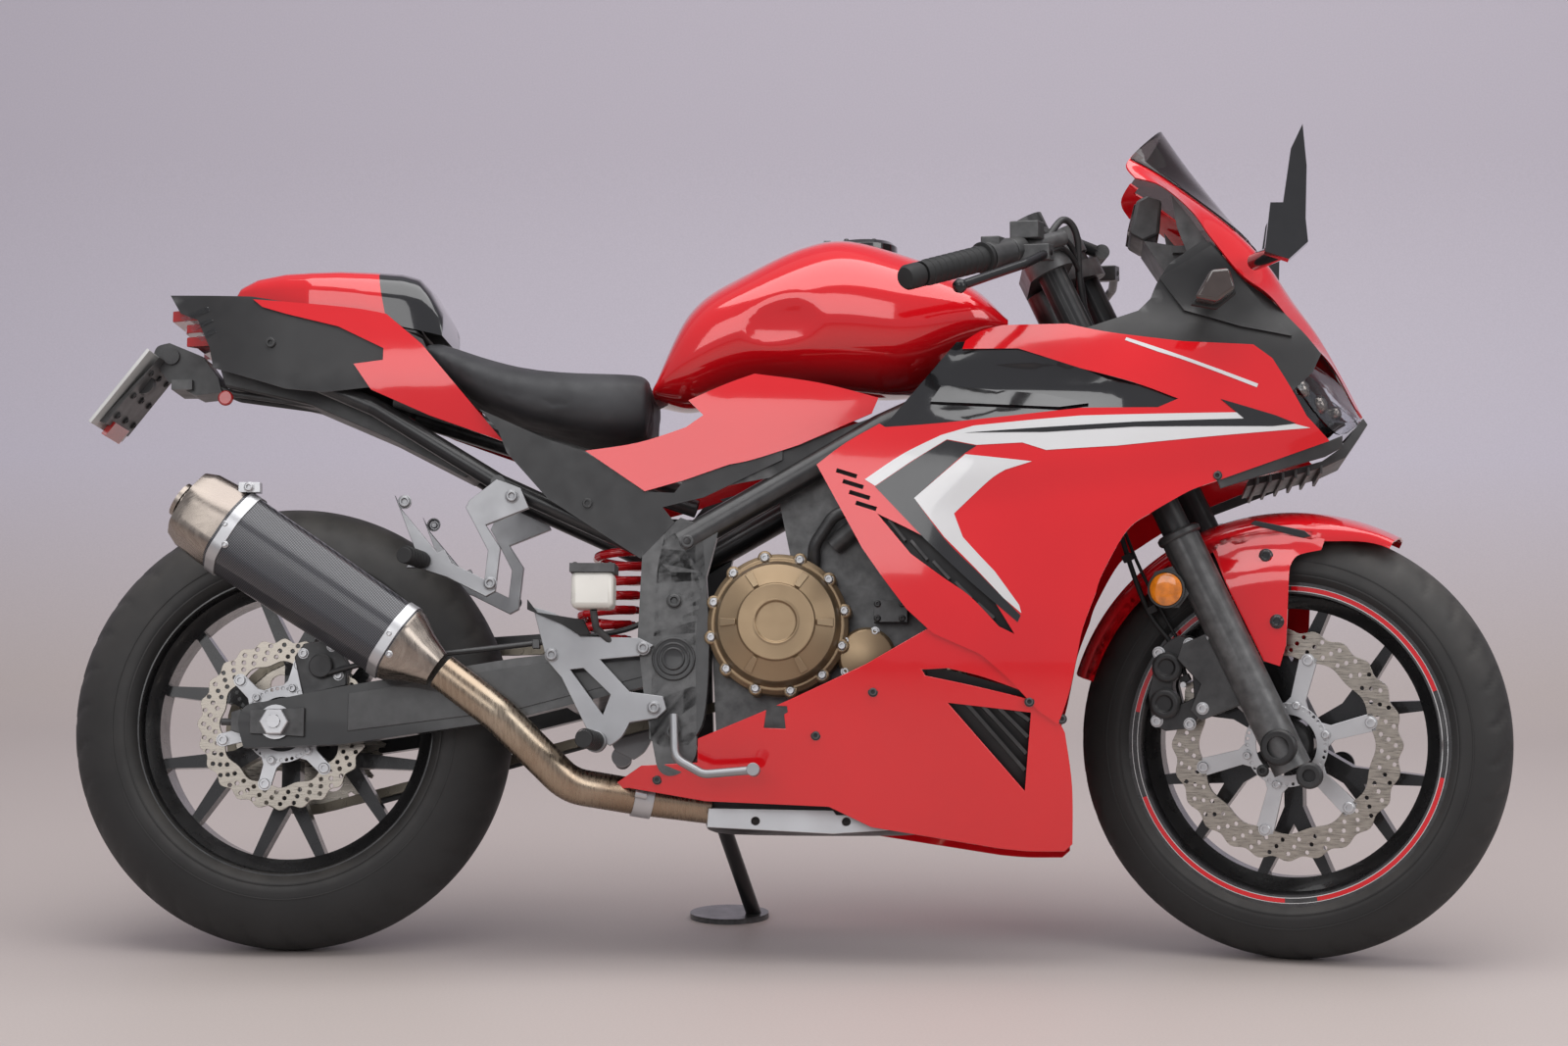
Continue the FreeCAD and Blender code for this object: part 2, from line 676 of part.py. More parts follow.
def build_subframe():
    bars = []
    for side in (-1, 1):
        bars.append(tube([at(500, side * 98, 560), at(300, side * 98, 650), at(120, side * 84, 760),
                          at(-60, side * 60, 838)], S.rail_radius, 80))
        bars.append(tube([at(560, side * 100, 640), at(330, side * 96, 716), at(150, side * 88, 772)],
                         S.rail_radius, 80))
    shape = bars[0].fuse(bars[1:] + [cylinder(at(300, -112, 650), at(300, 112, 650), 10)])
    keep_shape("subframe", shape)


def build_swingarm():
    arms = []
    outline = [(-52, 300), [(-48, 330), (-20, 340)], (90, 362), (330, 402), (520, 424),
               [(552, 426), (578, 400), (552, 374)], (330, 318), (95, 282), (-45, 276)]
    arm = side_prism(outline, -S.arm_inner - S.arm_wall, -S.arm_inner)
    pieces = [arm, mirrored(arm)]
    bridge = side_prism([(395, 400), (470, 412), (470, 355), (395, 340)], -S.arm_inner - 1, S.arm_inner + 1)
    barrel = cylinder(at(S.pivot_x, -S.arm_inner - 1, S.pivot_height), at(S.pivot_x, S.arm_inner + 1, S.pivot_height), 26)
    shape = pieces[0].fuse([pieces[1], bridge, barrel])
    axle_reach = S.arm_inner + S.arm_wall + 12
    axle = Part.makeCylinder(S.rear_axle_radius, 2 * axle_reach, Vector(0, -axle_reach, S.rear_tyre_radius), Vector(0, 1, 0))
    reach = S.plate_inner + S.plate_wall
    pivot = cylinder(at(S.pivot_x, -reach, S.pivot_height), at(S.pivot_x, reach, S.pivot_height),
                     S.pivot_radius)
    keep_shape("swingarm", shape.fuse([axle, pivot]))


def build_engine():
    half = S.case_half_width
    case = side_prism([(610, 300), (600, 470), (650, 520), (760, 520), (905, 470), (890, 300), (820, 262), (650, 262)],
                      -half, half)
    barrels = side_prism([(720, 500), (690, 640), (820, 700), (930, 560), (880, 470)], -110, 110)
    sprocket_room = side_prism([(560, 330), (690, 340), (700, 470), (560, 480)], 78, half + 1)
    engine = case.fuse(barrels).cut(sprocket_room)
    keep_shape("engine", engine)
    covers = []
    for side, x, z, radius, reach in ((-1, 692, 450, S.clutch_radius, S.cover_reach),
                                      (1, 692, 440, S.generator_radius, S.cover_reach),
                                      (-1, 820, 405, Size(40, "40"), S.cover_reach - 12)):
        start = at(x, side * (half + S.seat_gap), z)
        step = at(x, side * (reach - 14), z)
        end = at(x, side * reach, z)
        cover = cylinder(start, step, radius)
        cap = Part.makeCone(radius, radius - 12, 14, step, Vector(0, side, 0))
        covers.append(cover.fuse(cap))
    shape = covers[0].fuse(covers[2])
    keep_shape("engine_covers", Part.makeCompound([shape, covers[1]]))
    return engine


def build_exhaust(engine):
    collector = side_prism([(600, 168), (600, 232), (860, 232), (900, 196), (880, 168)], -100, 100)
    headers = []
    for y in (-52, 52):
        headers.append(tube([at(880, y, 590), at(960, y, 560), at(950, y, 330), at(870, y * 0.8, 205)], 20, 60))
    shape = collector.fuse(headers).cut(engine)
    keep_shape("exhaust_headers", shape)
    pipe = tube([at(600, -70, 200), at(500, -86, 214), at(412, -146, 226), at(335, -172, 296),
                 at(248, -190, 386)], 25, 60)
    pipe = pipe.cut(collector)
    keep_shape("link_pipe", pipe)
    return pipe


def silencer_frame():
    rear = at(-122, -float(S.silencer_offset), 612)
    front = at(205, -float(S.silencer_offset), 409)
    return rear, front


def build_silencer():
    rear, front = silencer_frame()
    axis = front - rear
    turn = Rotation(Vector(0, 0, 1), axis)

    def hexagon(place, half_width, half_height):
        upward = Vector(0, 1, 0).cross(axis).normalize()
        if upward.z < 0:
            upward = -upward
        points = [(half_width, 0.32), (0.45 * half_width, 1), (-0.45 * half_width, 1),
                  (-half_width, 0.32), (-half_width, -0.6), (0, -1), (half_width, -0.6)]
        corners = [place + Vector(0, y, 0) + upward * (z * half_height) for y, z in points]
        return Part.makePolygon(corners + corners[:1])

    def along(share):
        return rear + axis * share

    sleeve = Part.makeLoft([hexagon(along(0.12), 52, 68), hexagon(along(0.86), 48, 56)], True, True)
    keep_shape("silencer_sleeve", sleeve)
    end_cap = Part.makeLoft([hexagon(along(0.0), 44, 58), hexagon(along(0.119), 53, 69)], True, True)
    inlet = Part.makeLoft([hexagon(along(0.861), 49, 57), hexagon(along(1.0), 32, 32)], True, True)
    keep_shape("silencer_caps", Part.makeCompound([end_cap, inlet]))


# Bodywork

def flank(x, z):
    """Half width of the side fairing: widest beside the engine, drawn in to the nose and belly."""
    forward = max(0.0, (x - 900) / 560.0)
    back = max(0.0, (900 - x) / 560.0)
    up = max(0.0, (z - 560) / 300.0)
    down = max(0.0, (560 - z) / 410.0)
    return S.flank_half_width - 108 * forward ** 2 - 60 * back ** 2 - 48 * up ** 2 - 88 * down ** 2


def tail_flank(x, z):
    return S.tail_half_width + 25 * max(0.0, x / 300.0) - 45 * (max(0.0, -x) / 190.0) ** 1.5


def cover_flank(x, z):
    return 152 - 12 * ((x - 650) / 300.0) ** 2


def build_side_panels(frame, pipe):
    wall = S.panel_wall
    fairing = skin_panel([(751, 660), (836, 717), (844, 712), (1010, 727), (1110, 740), (1214, 743), (1242, 756),
                          (1110, 796), (1024, 824), (948, 823), (952, 835), (1003, 858), (1091, 861),
                          (1151, 848), (1346, 836), (1372, 817), (1419, 738), (1451, 706), (1415, 692),
                          (1295, 645), (1242, 621), [(1172, 573), (1139, 515), (1129, 486)], (1105, 407),
                          (1079, 310), (1052, 328), (973, 403), (910, 430), (874, 463), (814, 545)], flank, wall)
    keep_shape("side_fairings", both_sides(fairing))
    belly = skin_panel([(461, 222), (510, 254), (588, 258), (589, 290), (819, 385), (908, 427), (971, 400),
                        (1050, 325), (1077, 307), (1099, 152), (1088, 142), (1001, 145), (826, 172),
                        (768, 199), (599, 206), (492, 224)], flank, wall).cut(fairing)
    stand_room = side_prism([(440, 130), (660, 130), (672, 266), (440, 300)], 0, 300)
    keep_shape("belly_cowls", Part.makeCompound([belly.cut(pipe), mirrored(belly).cut(stand_room)]))
    duct = skin_panel([(843, 716), (1010, 731), (1110, 744), (1210, 747), (1236, 755), (1110, 792), (1024, 820),
                       (950, 819)], lambda x, z: flank(x, z) - 12, wall)
    keep_shape("duct_panels", both_sides(duct))
    cover = skin_panel([(569, 759), (660, 799), (832, 763), (823, 741), (722, 696), (627, 669), (567, 648),
                        (510, 632), (426, 689), (566, 721), (590, 738)], cover_flank, wall)
    keep_shape("flank_covers", both_sides(cover))
    black = skin_panel([(205, 827), (275, 750), (372, 706), (423, 689), (508, 630), (551, 630), (535, 610),
                        (552, 589), (505, 539), (374, 623), (315, 688), (311, 707)],
                       lambda x, z: cover_flank(x, z) - 2, wall)
    keep_shape("frame_covers", both_sides(black).cut(frame))
    tail = skin_panel([(-59, 913), (47, 902), (137, 889), (190, 844), (201, 831), (308, 706), (203, 743),
                       (119, 780), (93, 817), (135, 822), (135, 839), (68, 872), (-44, 903)], tail_flank, wall)
    keep_shape("tail_panels", both_sides(tail))


def build_tank():
    stations = ((511, 795, 776, 70), (560, 905, 768, 105), (640, 960, 790, 122), (760, 1004, 790, 140),
                (870, 980, 790, 152), (960, 950, 830, 140), (1015, 895, 862, 110))
    rings, hollow = [], []
    wall = S.tank_wall
    for x, top, low, half in stations:
        scaled = half * S.tank_half_width / 150.0
        centre = at(x, 0, (top + low) / 2)
        rings.append(section_ring(centre, scaled, (top - low) / 2, 2.4))
        hollow.append(section_ring(centre, scaled - wall, (top - low) / 2 - wall, 2.4))
    inside = Part.makeLoft(hollow[1:-1], True, False)
    keep_shape("fuel_tank", Part.makeLoft(rings, True, False).cut(inside))


def build_seat():
    stations = ((186, 858, 832, 95), (260, 834, 772, 128), (360, 812, 730, 138), (460, 809, 712, 125),
                (505, 808, 716, 100))
    rings = [section_ring(at(x, 0, (top + low) / 2), half * S.seat_half_width / 138.0, (top - low) / 2, 3.0)
             for x, top, low, half in stations]
    keep_shape("rider_seat", Part.makeLoft(rings, True, False))
    stations = ((-100, 950, 938, 50), (-30, 958, 918, 80), (90, 957, 908, 95), (165, 950, 888, 100), (190, 905, 865, 96))
    rings = [section_ring(at(x, 0, (top + low) / 2), half, (top - low) / 2, 3.0) for x, top, low, half in stations]
    keep_shape("passenger_seat", Part.makeLoft(rings, True, False))


def build_tail():
    tray = side_prism([(-117, 818), (-104, 797), (20, 770), (133, 722), (245, 665), (262, 680), (140, 745),
                       (30, 790), (-95, 826)], -48, 48)
    keep_shape("undertail_tray", tray)
    lamp = side_prism([(-188, 929), (-110, 925), (-110, 880), (-170, 895)], -52, 52)
    keep_shape("tail_lamp", lamp)
    hanger = side_prism([(-209, 856), (-141, 838), (-118, 812), (-100, 790), (-106, 770), (-150, 800), (-200, 838)],
                        -30, 30)
    keep_shape("plate_hanger", hanger)
    plate = side_prism([(-278, 712), (-272, 710), (-196, 833), (-202, 836)], -90, 90)
    keep_shape("number_plate", plate)


def headlamp():
    """The right-hand lamp, set into the lower corner of the nose."""
    return side_prism([(1404, 786), (1420, 820), (1484, 782), (1500, 746), (1477, 723), (1440, 735)],
                      -112, -30)


def build_nose():
    stations = (((1187, 1120), (1176, 1092), 128), ((1267, 1062), (1222, 1050), 145),
                ((1329, 1001), (1290, 1000), 150), ((1384, 951), (1350, 925), 142),
                ((1452, 860), (1410, 838), 110), ((1495, 790), (1470, 775), 60))
    outer, inner = [], []
    for (cx, cz), (ex, ez), half in stations:
        row_out, row_in = [], []
        for share in (-1, -0.75, -0.4, 0, 0.4, 0.75, 1):
            drop = abs(share) ** 2.2
            point = at(cx + (ex - cx) * drop, share * half, cz + (ez - cz) * drop)
            row_out.append(point)
            row_in.append(point + Vector(-4, -4 * share, -4))
        outer.append(row_out)
        inner.append(row_in)
    keep_shape("nose_cowl", wall_between(outer, inner).cut(both_sides(headlamp())))
    side = skin_panel([(1098, 860), (1179, 884), (1210, 906), (1224, 941), (1273, 966), (1307, 960), (1374, 880),
                       (1408, 840), (1395, 800), (1372, 822), (1346, 840), (1185, 850)],
                      lambda x, z: 160 - 60 * (max(0, x - 1250) / 200.0) ** 2, S.panel_wall)
    keep_shape("nose_side_panels", both_sides(side))


def wall_between(outer, inner):
    """A thin wall between two smooth surfaces given by rows of points."""
    faces = []
    for grid in (outer, inner):
        surface = Part.BSplineSurface()
        surface.interpolate(grid)
        faces.append(surface.toShape())
    sides = []
    for edge_out, edge_in in zip(faces[0].Edges, faces[1].Edges):
        sides.append(Part.makeRuledSurface(edge_out, edge_in))
    shell = Part.makeShell(faces + sides)
    solid = Part.makeSolid(shell)
    if solid.Volume < 0:
        solid.reverse()
    return solid


def build_screen():
    stations = ((1233, 1163, 1196, 1104, 112), (1267, 1107, 1236, 1062, 122), (1316, 1043, 1292, 1018, 128), (1372, 975, 1340, 960, 122))
    outer, inner = [], []
    for cx, cz, ex, ez, half in stations:
        row_out, row_in = [], []
        for share in (-1, -0.6, 0, 0.6, 1):
            drop = abs(share) ** 2
            point = at(cx + (ex - cx) * drop + 12, share * half, cz + (ez - cz) * drop + 14)
            row_out.append(point)
            row_in.append(point + Vector(-3, -2 * share, -3))
        outer.append(row_out)
        inner.append(row_in)
    keep_shape("windscreen", wall_between(outer, inner))


def build_small_parts():
    keep_shape("headlamps", both_sides(headlamp()))
    radiator = side_prism([(1006, 390), (980, 640), (1008, 643), (1034, 393)], -150, 150)
    keep_shape("radiator", radiator)
    mirror = side_prism([(1407, 1118), (1391, 1084), (1380, 1010), (1363, 1010), (1355, 943), (1387, 932), (1413, 956), (1410, 988), (1412, 1060)], -262, -240)
    stay = cylinder(at(1384, -241, 950), at(1350, -146, 952), 12)
    keep_shape("mirrors", both_sides(mirror.fuse(stay)))
    signal = side_prism([(1240, 886), (1250, 905), (1305, 922), (1314, 896), (1301, 882)], -240, -168)
    keep_shape("turn_signals", both_sides(signal))
    dash = side_prism([(1186, 1020), (1214, 1068), (1231, 1059), (1203, 1010)], -85, 85)
    keep_shape("instrument_panel", dash)
    hanger = side_prism([(359, 470), (425, 430), (506, 428), (545, 420), (545, 330), (495, 310), (468, 280), (441, 293), (400, 373)], -158, -147)
    peg = cylinder(at(450, -158, 285), at(440, -255, 282), 12)
    keep_shape("rider_pegs", both_sides(hanger.fuse(peg)))
    pillion = side_prism([(157, 630), (219, 549), (192, 528), (288, 488), (301, 495), (307, 556), (349, 592), (346, 606), (285, 640)], -150, -140)
    peg = cylinder(at(200, -150, 538), at(180, -235, 536), 11)
    keep_shape("passenger_pegs", both_sides(pillion.fuse(peg)))
    keep_shape("brake_reservoir", Part.makeCylinder(24, 60, at(445, -165, 472)))
    caliper = side_prism([(17, 405), (72, 430), (92, 366), (30, 352)], -S.arm_inner, 18 - S.rear_disc_offset)
    slot = Part.makeCylinder(S.rear_disc_radius + 5, S.disc_thickness + 3,
                             Vector(0, -S.rear_disc_offset - S.disc_thickness / 2 - 1.5, S.rear_tyre_radius), Vector(0, 1, 0))
    keep_shape("rear_caliper", caliper.cut(slot))


def build_chain():
    """Two rows of link plates round both sprockets."""
    rear = Vector(0, 0, S.rear_tyre_radius)
    front = at(640, 0, 405)
    band = S.chain_height
    gap = S.sprocket_thickness / 2 + 1.2

    def loop(grow, y_from, y_to):
        big = REAR_PITCH + grow
        small = DRIVE_PITCH + grow
        span = front - rear
        tilt = math.degrees(math.atan2(span.z, span.x))
        lean_in = math.degrees(math.asin((big - small) / span.Length))

        def rim(centre, radius, angle):
            return centre + Vector(radius * cos(angle), y_from, radius * sin(angle))

        up = tilt + 90 - lean_in
        down = tilt - 90 + lean_in
        top_rear = rim(rear, big, up)
        top_front = rim(front, small, up)
        low_front = rim(front, small, down)
        low_rear = rim(rear, big, down)
        wire = Part.Wire([
            Part.LineSegment(top_rear, top_front).toShape(),
            Part.Arc(top_front, rim(front, small, tilt), low_front).toShape(),
            Part.LineSegment(low_front, low_rear).toShape(),
            Part.Arc(low_rear, rim(rear, big, tilt + 180), top_rear).toShape()])
        return Part.Face(wire).extrude(Vector(0, y_to - y_from, 0))

    rows = []
    for near in (S.chain_line - gap - S.chain_plate, S.chain_line + gap):
        outer = loop(band / 2, near, near + S.chain_plate)
        rows.append(outer.cut(loop(-band / 2, near - 1, near + S.chain_plate + 1)))
    keep_shape("drive_chain", Part.makeCompound(rows))
    cover = side_prism([(60, 446), (330, 494), (470, 502), (470, 505), (330, 497), (60, 449)], 86, 105)
    web = side_prism([(70, 452), (330, 495), (470, 503), (440, 415.5), (330, 402.8), (90, 362.8)], 102, 105)
    keep_shape("chain_guard", cover.fuse(web))


def build_stand():
    """A leg from its hinge to a round foot plate that lies flat on the ground."""
    pivot, hinge = stand_axis()
    floor = PARKED.inverse()
    up = floor.Rotation.multVec(Vector(0, 0, 1))
    foot_over = PARKED.multVec(at(S.foot_x, S.foot_y, 60))
    foot = floor.multVec(Vector(foot_over.x, foot_over.y, 0))
    plate_base = floor.multVec(Vector(foot_over.x - 38, foot_over.y, 0))
    plate = Part.makeCylinder(S.foot_radius, S.foot_thickness, plate_base, up)
    leg = cylinder(pivot, foot, S.stand_radius)
    leg = leg.cut(cylinder(plate_base - up * 40, plate_base + up * 0.01, 120))
    half = S.stand_boss_width / 2
    boss = cylinder(pivot - hinge * half, pivot + hinge * half, S.stand_boss_radius)
    pin = cylinder(pivot - hinge * 40, pivot + hinge * 40, S.stand_pin_radius + S.running_gap)
    keep_shape("side_stand", plate.fuse([leg, boss]).cut(pin))


def build_bike():
    build_wheels()
    build_sprocket()
    build_fork()
    build_bars()
    build_front_fender()
    build_front_caliper()
    frame = build_frame()
    build_subframe()
    build_swingarm()
    pipe = build_exhaust(build_engine())
    build_silencer()
    build_side_panels(frame, pipe)
    build_tank()
    build_seat()
    build_tail()
    build_nose()
    build_screen()
    build_small_parts()
    build_chain()
    build_stand()


def whole_box(parts):
    """The exact box round every sub-part."""
    box = FreeCAD.BoundBox()
    for part in parts:
        box.add(part.Shape.optimalBoundingBox(False, False))
    return box


build_bike()
doc.recompute()

# The origin is on the ground, at the middle of the bike's box
BOX = whole_box(NODES)
TO_ORIGIN = Placement(Vector(-BOX.Center.x, -BOX.Center.y, 0), Rotation())
for part in NODES:
    part.Placement = TO_ORIGIN.multiply(part.Placement)
GROUNDED = TO_ORIGIN.multiply(PARKED)
doc.recompute()

os.makedirs("parts", exist_ok=True)
for part in NODES:
    if "Invalid" in part.State or "Error" in part.State:
        raise RuntimeError("%s failed: %s" % (part.Label, part.State))
    if part.Shape.isNull() or not part.Shape.isValid():
        raise RuntimeError("%s has no valid shape" % part.Label)
    part.Shape.exportStep("parts/%s.step" % part.Label)
    print(part.Label, round(part.Shape.Volume), part.Shape.ShapeType)
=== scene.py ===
import bmesh
import bpy
import json
import math

from mathutils import Matrix, Vector
from mathutils.geometry import delaunay_2d_cdt
from mathutils.kdtree import KDTree


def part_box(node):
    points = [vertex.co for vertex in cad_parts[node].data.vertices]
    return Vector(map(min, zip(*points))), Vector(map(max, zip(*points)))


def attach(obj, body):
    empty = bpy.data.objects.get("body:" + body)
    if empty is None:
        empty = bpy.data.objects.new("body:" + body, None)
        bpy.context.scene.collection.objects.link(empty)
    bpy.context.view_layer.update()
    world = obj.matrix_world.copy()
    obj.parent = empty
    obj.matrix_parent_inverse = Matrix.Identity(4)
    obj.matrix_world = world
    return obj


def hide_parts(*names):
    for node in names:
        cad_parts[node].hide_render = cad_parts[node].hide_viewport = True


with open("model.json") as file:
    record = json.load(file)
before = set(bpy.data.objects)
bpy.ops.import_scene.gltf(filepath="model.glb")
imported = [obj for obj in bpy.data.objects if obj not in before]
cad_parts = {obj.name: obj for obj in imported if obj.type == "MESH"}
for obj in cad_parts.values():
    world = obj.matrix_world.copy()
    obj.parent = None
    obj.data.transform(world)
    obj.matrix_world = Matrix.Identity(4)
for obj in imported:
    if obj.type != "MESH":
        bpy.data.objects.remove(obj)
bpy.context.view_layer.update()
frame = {"nodes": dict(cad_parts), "record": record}
NODES = frame["nodes"]

MM = 0.001


# Materials

class Shader:
    """A node material under construction: add nodes, link sockets, set values."""

    def __init__(self, name):
        self.material = bpy.data.materials.new(name)
        self.material.use_nodes = True
        self.tree = self.material.node_tree
        self.surface = self.tree.nodes["Principled BSDF"]
        self.place = self.tree.nodes.new("ShaderNodeTexCoord").outputs["Object"]

    def add(self, kind, **values):
        node = self.tree.nodes.new(kind)
        for key, value in values.items():
            if hasattr(node, key):
                setattr(node, key, value)
            else:
                self.put(node.inputs[key.replace("_", " ")], value)
        return node

    def put(self, socket, value):
        if isinstance(value, bpy.types.NodeSocket):
            self.tree.links.new(value, socket)
        else:
            socket.default_value = value

    def noise(self, scale, detail=3.0, stretch=(1, 1, 1)):
        place = self.place
        if stretch != (1, 1, 1):
            place = self.add("ShaderNodeMapping", Vector=place, Scale=stretch).outputs[0]
        return self.add("ShaderNodeTexNoise", Vector=place, Scale=scale, Detail=detail).outputs["Fac"]

    def span(self, value, low, high, from_low=0.3, from_high=0.7):
        node = self.add("ShaderNodeMapRange", Value=value)
        self.put(node.inputs["From Min"], from_low)
        self.put(node.inputs["From Max"], from_high)
        self.put(node.inputs["To Min"], low)
        self.put(node.inputs["To Max"], high)
        return node.outputs[0]

    def mix(self, share, first, second):
        node = self.add("ShaderNodeMix", data_type="RGBA")
        self.put(node.inputs["Factor"], share)
        self.put(node.inputs["A"], first)
        self.put(node.inputs["B"], second)
        return node.outputs["Result"]

    def math(self, operation, first, second=0.0):
        node = self.add("ShaderNodeMath", operation=operation)
        self.put(node.inputs[0], first)
        self.put(node.inputs[1], second)
        return node.outputs[0]

    def bump(self, height, strength, distance):
        node = self.add("ShaderNodeBump", Strength=strength, Distance=distance, Height=height)
        self.put(self.surface.inputs["Normal"], node.outputs[0])

    def set(self, **values):
        for key, value in values.items():
            self.put(self.surface.inputs[key.replace("_", " ")], value)
        return self


def rgb(red, green, blue):
    return (red, green, blue, 1.0)


def tinted(colour, share):
    return rgb(*[min(1.0, channel * share) for channel in colour[:3]])


def finish(name, colour, rough, metallic=0.0, coat=0.0, shift=0.12, patch=9.0, grain=1200.0,
           depth=0.02, worn=0.0, worn_colour=rgb(0.3, 0.3, 0.3), dusty=0.0, rough_spread=0.06):
    """Colour that drifts in soft patches, fine grain, worn edges and settled dust."""
    made = Shader(name)
    tone = made.mix(made.span(made.noise(patch), 0.0, 1.0), tinted(colour, 1 - shift),
                    tinted(colour, 1 + shift))
    if worn:
        pointed = made.add("ShaderNodeNewGeometry").outputs["Pointiness"]
        edge = made.span(pointed, 0.0, worn, 0.52, 0.60)
        tone = made.mix(made.math("MULTIPLY", edge, made.noise(60)), tone, worn_colour)
    if dusty:
        upward = made.add("ShaderNodeSeparateXYZ", Vector=made.add("ShaderNodeNewGeometry").outputs["Normal"])
        share = made.math("MULTIPLY", made.span(upward.outputs["Z"], 0.0, dusty, 0.0, 1.0), made.noise(25, 6.0))
        tone = made.mix(share, tone, rgb(0.35, 0.31, 0.27))
    made.set(Base_Color=tone, Metallic=metallic)
    made.set(Roughness=made.span(made.noise(patch * 4, 5.0), rough - rough_spread, rough + rough_spread))
    made.set(Coat_Weight=coat, Coat_Roughness=0.04)
    made.bump(made.noise(grain, 2.0), 0.25, depth * MM)
    return made


def brushed(name, colour, rough, stretch, heat=None):
    """Brushed metal: fine lines along one way, with a patchy heat tint where given."""
    made = Shader(name)
    lines = made.noise(60, 6.0, stretch)
    tone = made.mix(made.span(lines, 0.0, 1.0), tinted(colour, 0.8), tinted(colour, 1.15))
    if heat:
        tone = made.mix(made.span(made.noise(7.0), 0.0, 0.8), tone, heat)
    made.set(Base_Color=tone, Metallic=1.0, Roughness=made.span(lines, rough - 0.08, rough + 0.1))
    made.bump(lines, 0.15, 0.05 * MM)
    return made


def woven(name):
    """Dark twill weave under a clear coat."""
    made = Shader(name)
    bands = []
    for turn in (0.7854, -0.7854):
        place = made.add("ShaderNodeMapping", Vector=made.place, Rotation=(0, turn, 0))
        wave = made.add("ShaderNodeTexWave", Vector=place.outputs[0], Scale=120.0, Distortion=0.0)
        bands.append(wave.outputs["Fac"])
    weave = made.math("MULTIPLY", bands[0], bands[1])
    tone = made.mix(made.span(weave, 0.0, 1.0, 0.05, 0.6), rgb(0.012, 0.012, 0.014), rgb(0.10, 0.10, 0.115))
    made.set(Base_Color=tone, Roughness=made.span(weave, 0.42, 0.28), Metallic=0.2)
    made.set(Coat_Weight=0.6, Coat_Roughness=0.12)
    made.bump(weave, 0.3, 0.15 * MM)
    return made


def clear(name, colour, rough=0.02, see_through=1.0):
    """Clear or tinted plastic with faint streaks in its polish."""
    made = Shader(name)
    tone = made.mix(made.span(made.noise(12.0), 0.0, 1.0), colour, tinted(colour, 0.85))
    made.set(Base_Color=tone, Transmission_Weight=see_through, IOR=1.42)
    made.set(Roughness=made.span(made.noise(90.0, 5.0), rough, rough + 0.05))
    made.bump(made.noise(30.0), 0.04, 0.05 * MM)
    return made


def leather(name):
    """Seat cover: a pebbled grain in two sizes over soft tone patches."""
    made = Shader(name)
    cells = made.add("ShaderNodeTexVoronoi", Vector=made.place, Scale=900.0).outputs["Distance"]
    tone = made.mix(made.span(made.noise(14.0), 0.0, 1.0), rgb(0.024, 0.024, 0.026), rgb(0.042, 0.042, 0.045))
    made.set(Base_Color=tone, Roughness=made.span(made.noise(40.0), 0.52, 0.68))
    made.bump(made.math("ADD", cells, made.noise(2500.0)), 0.35, 0.12 * MM)
    return made


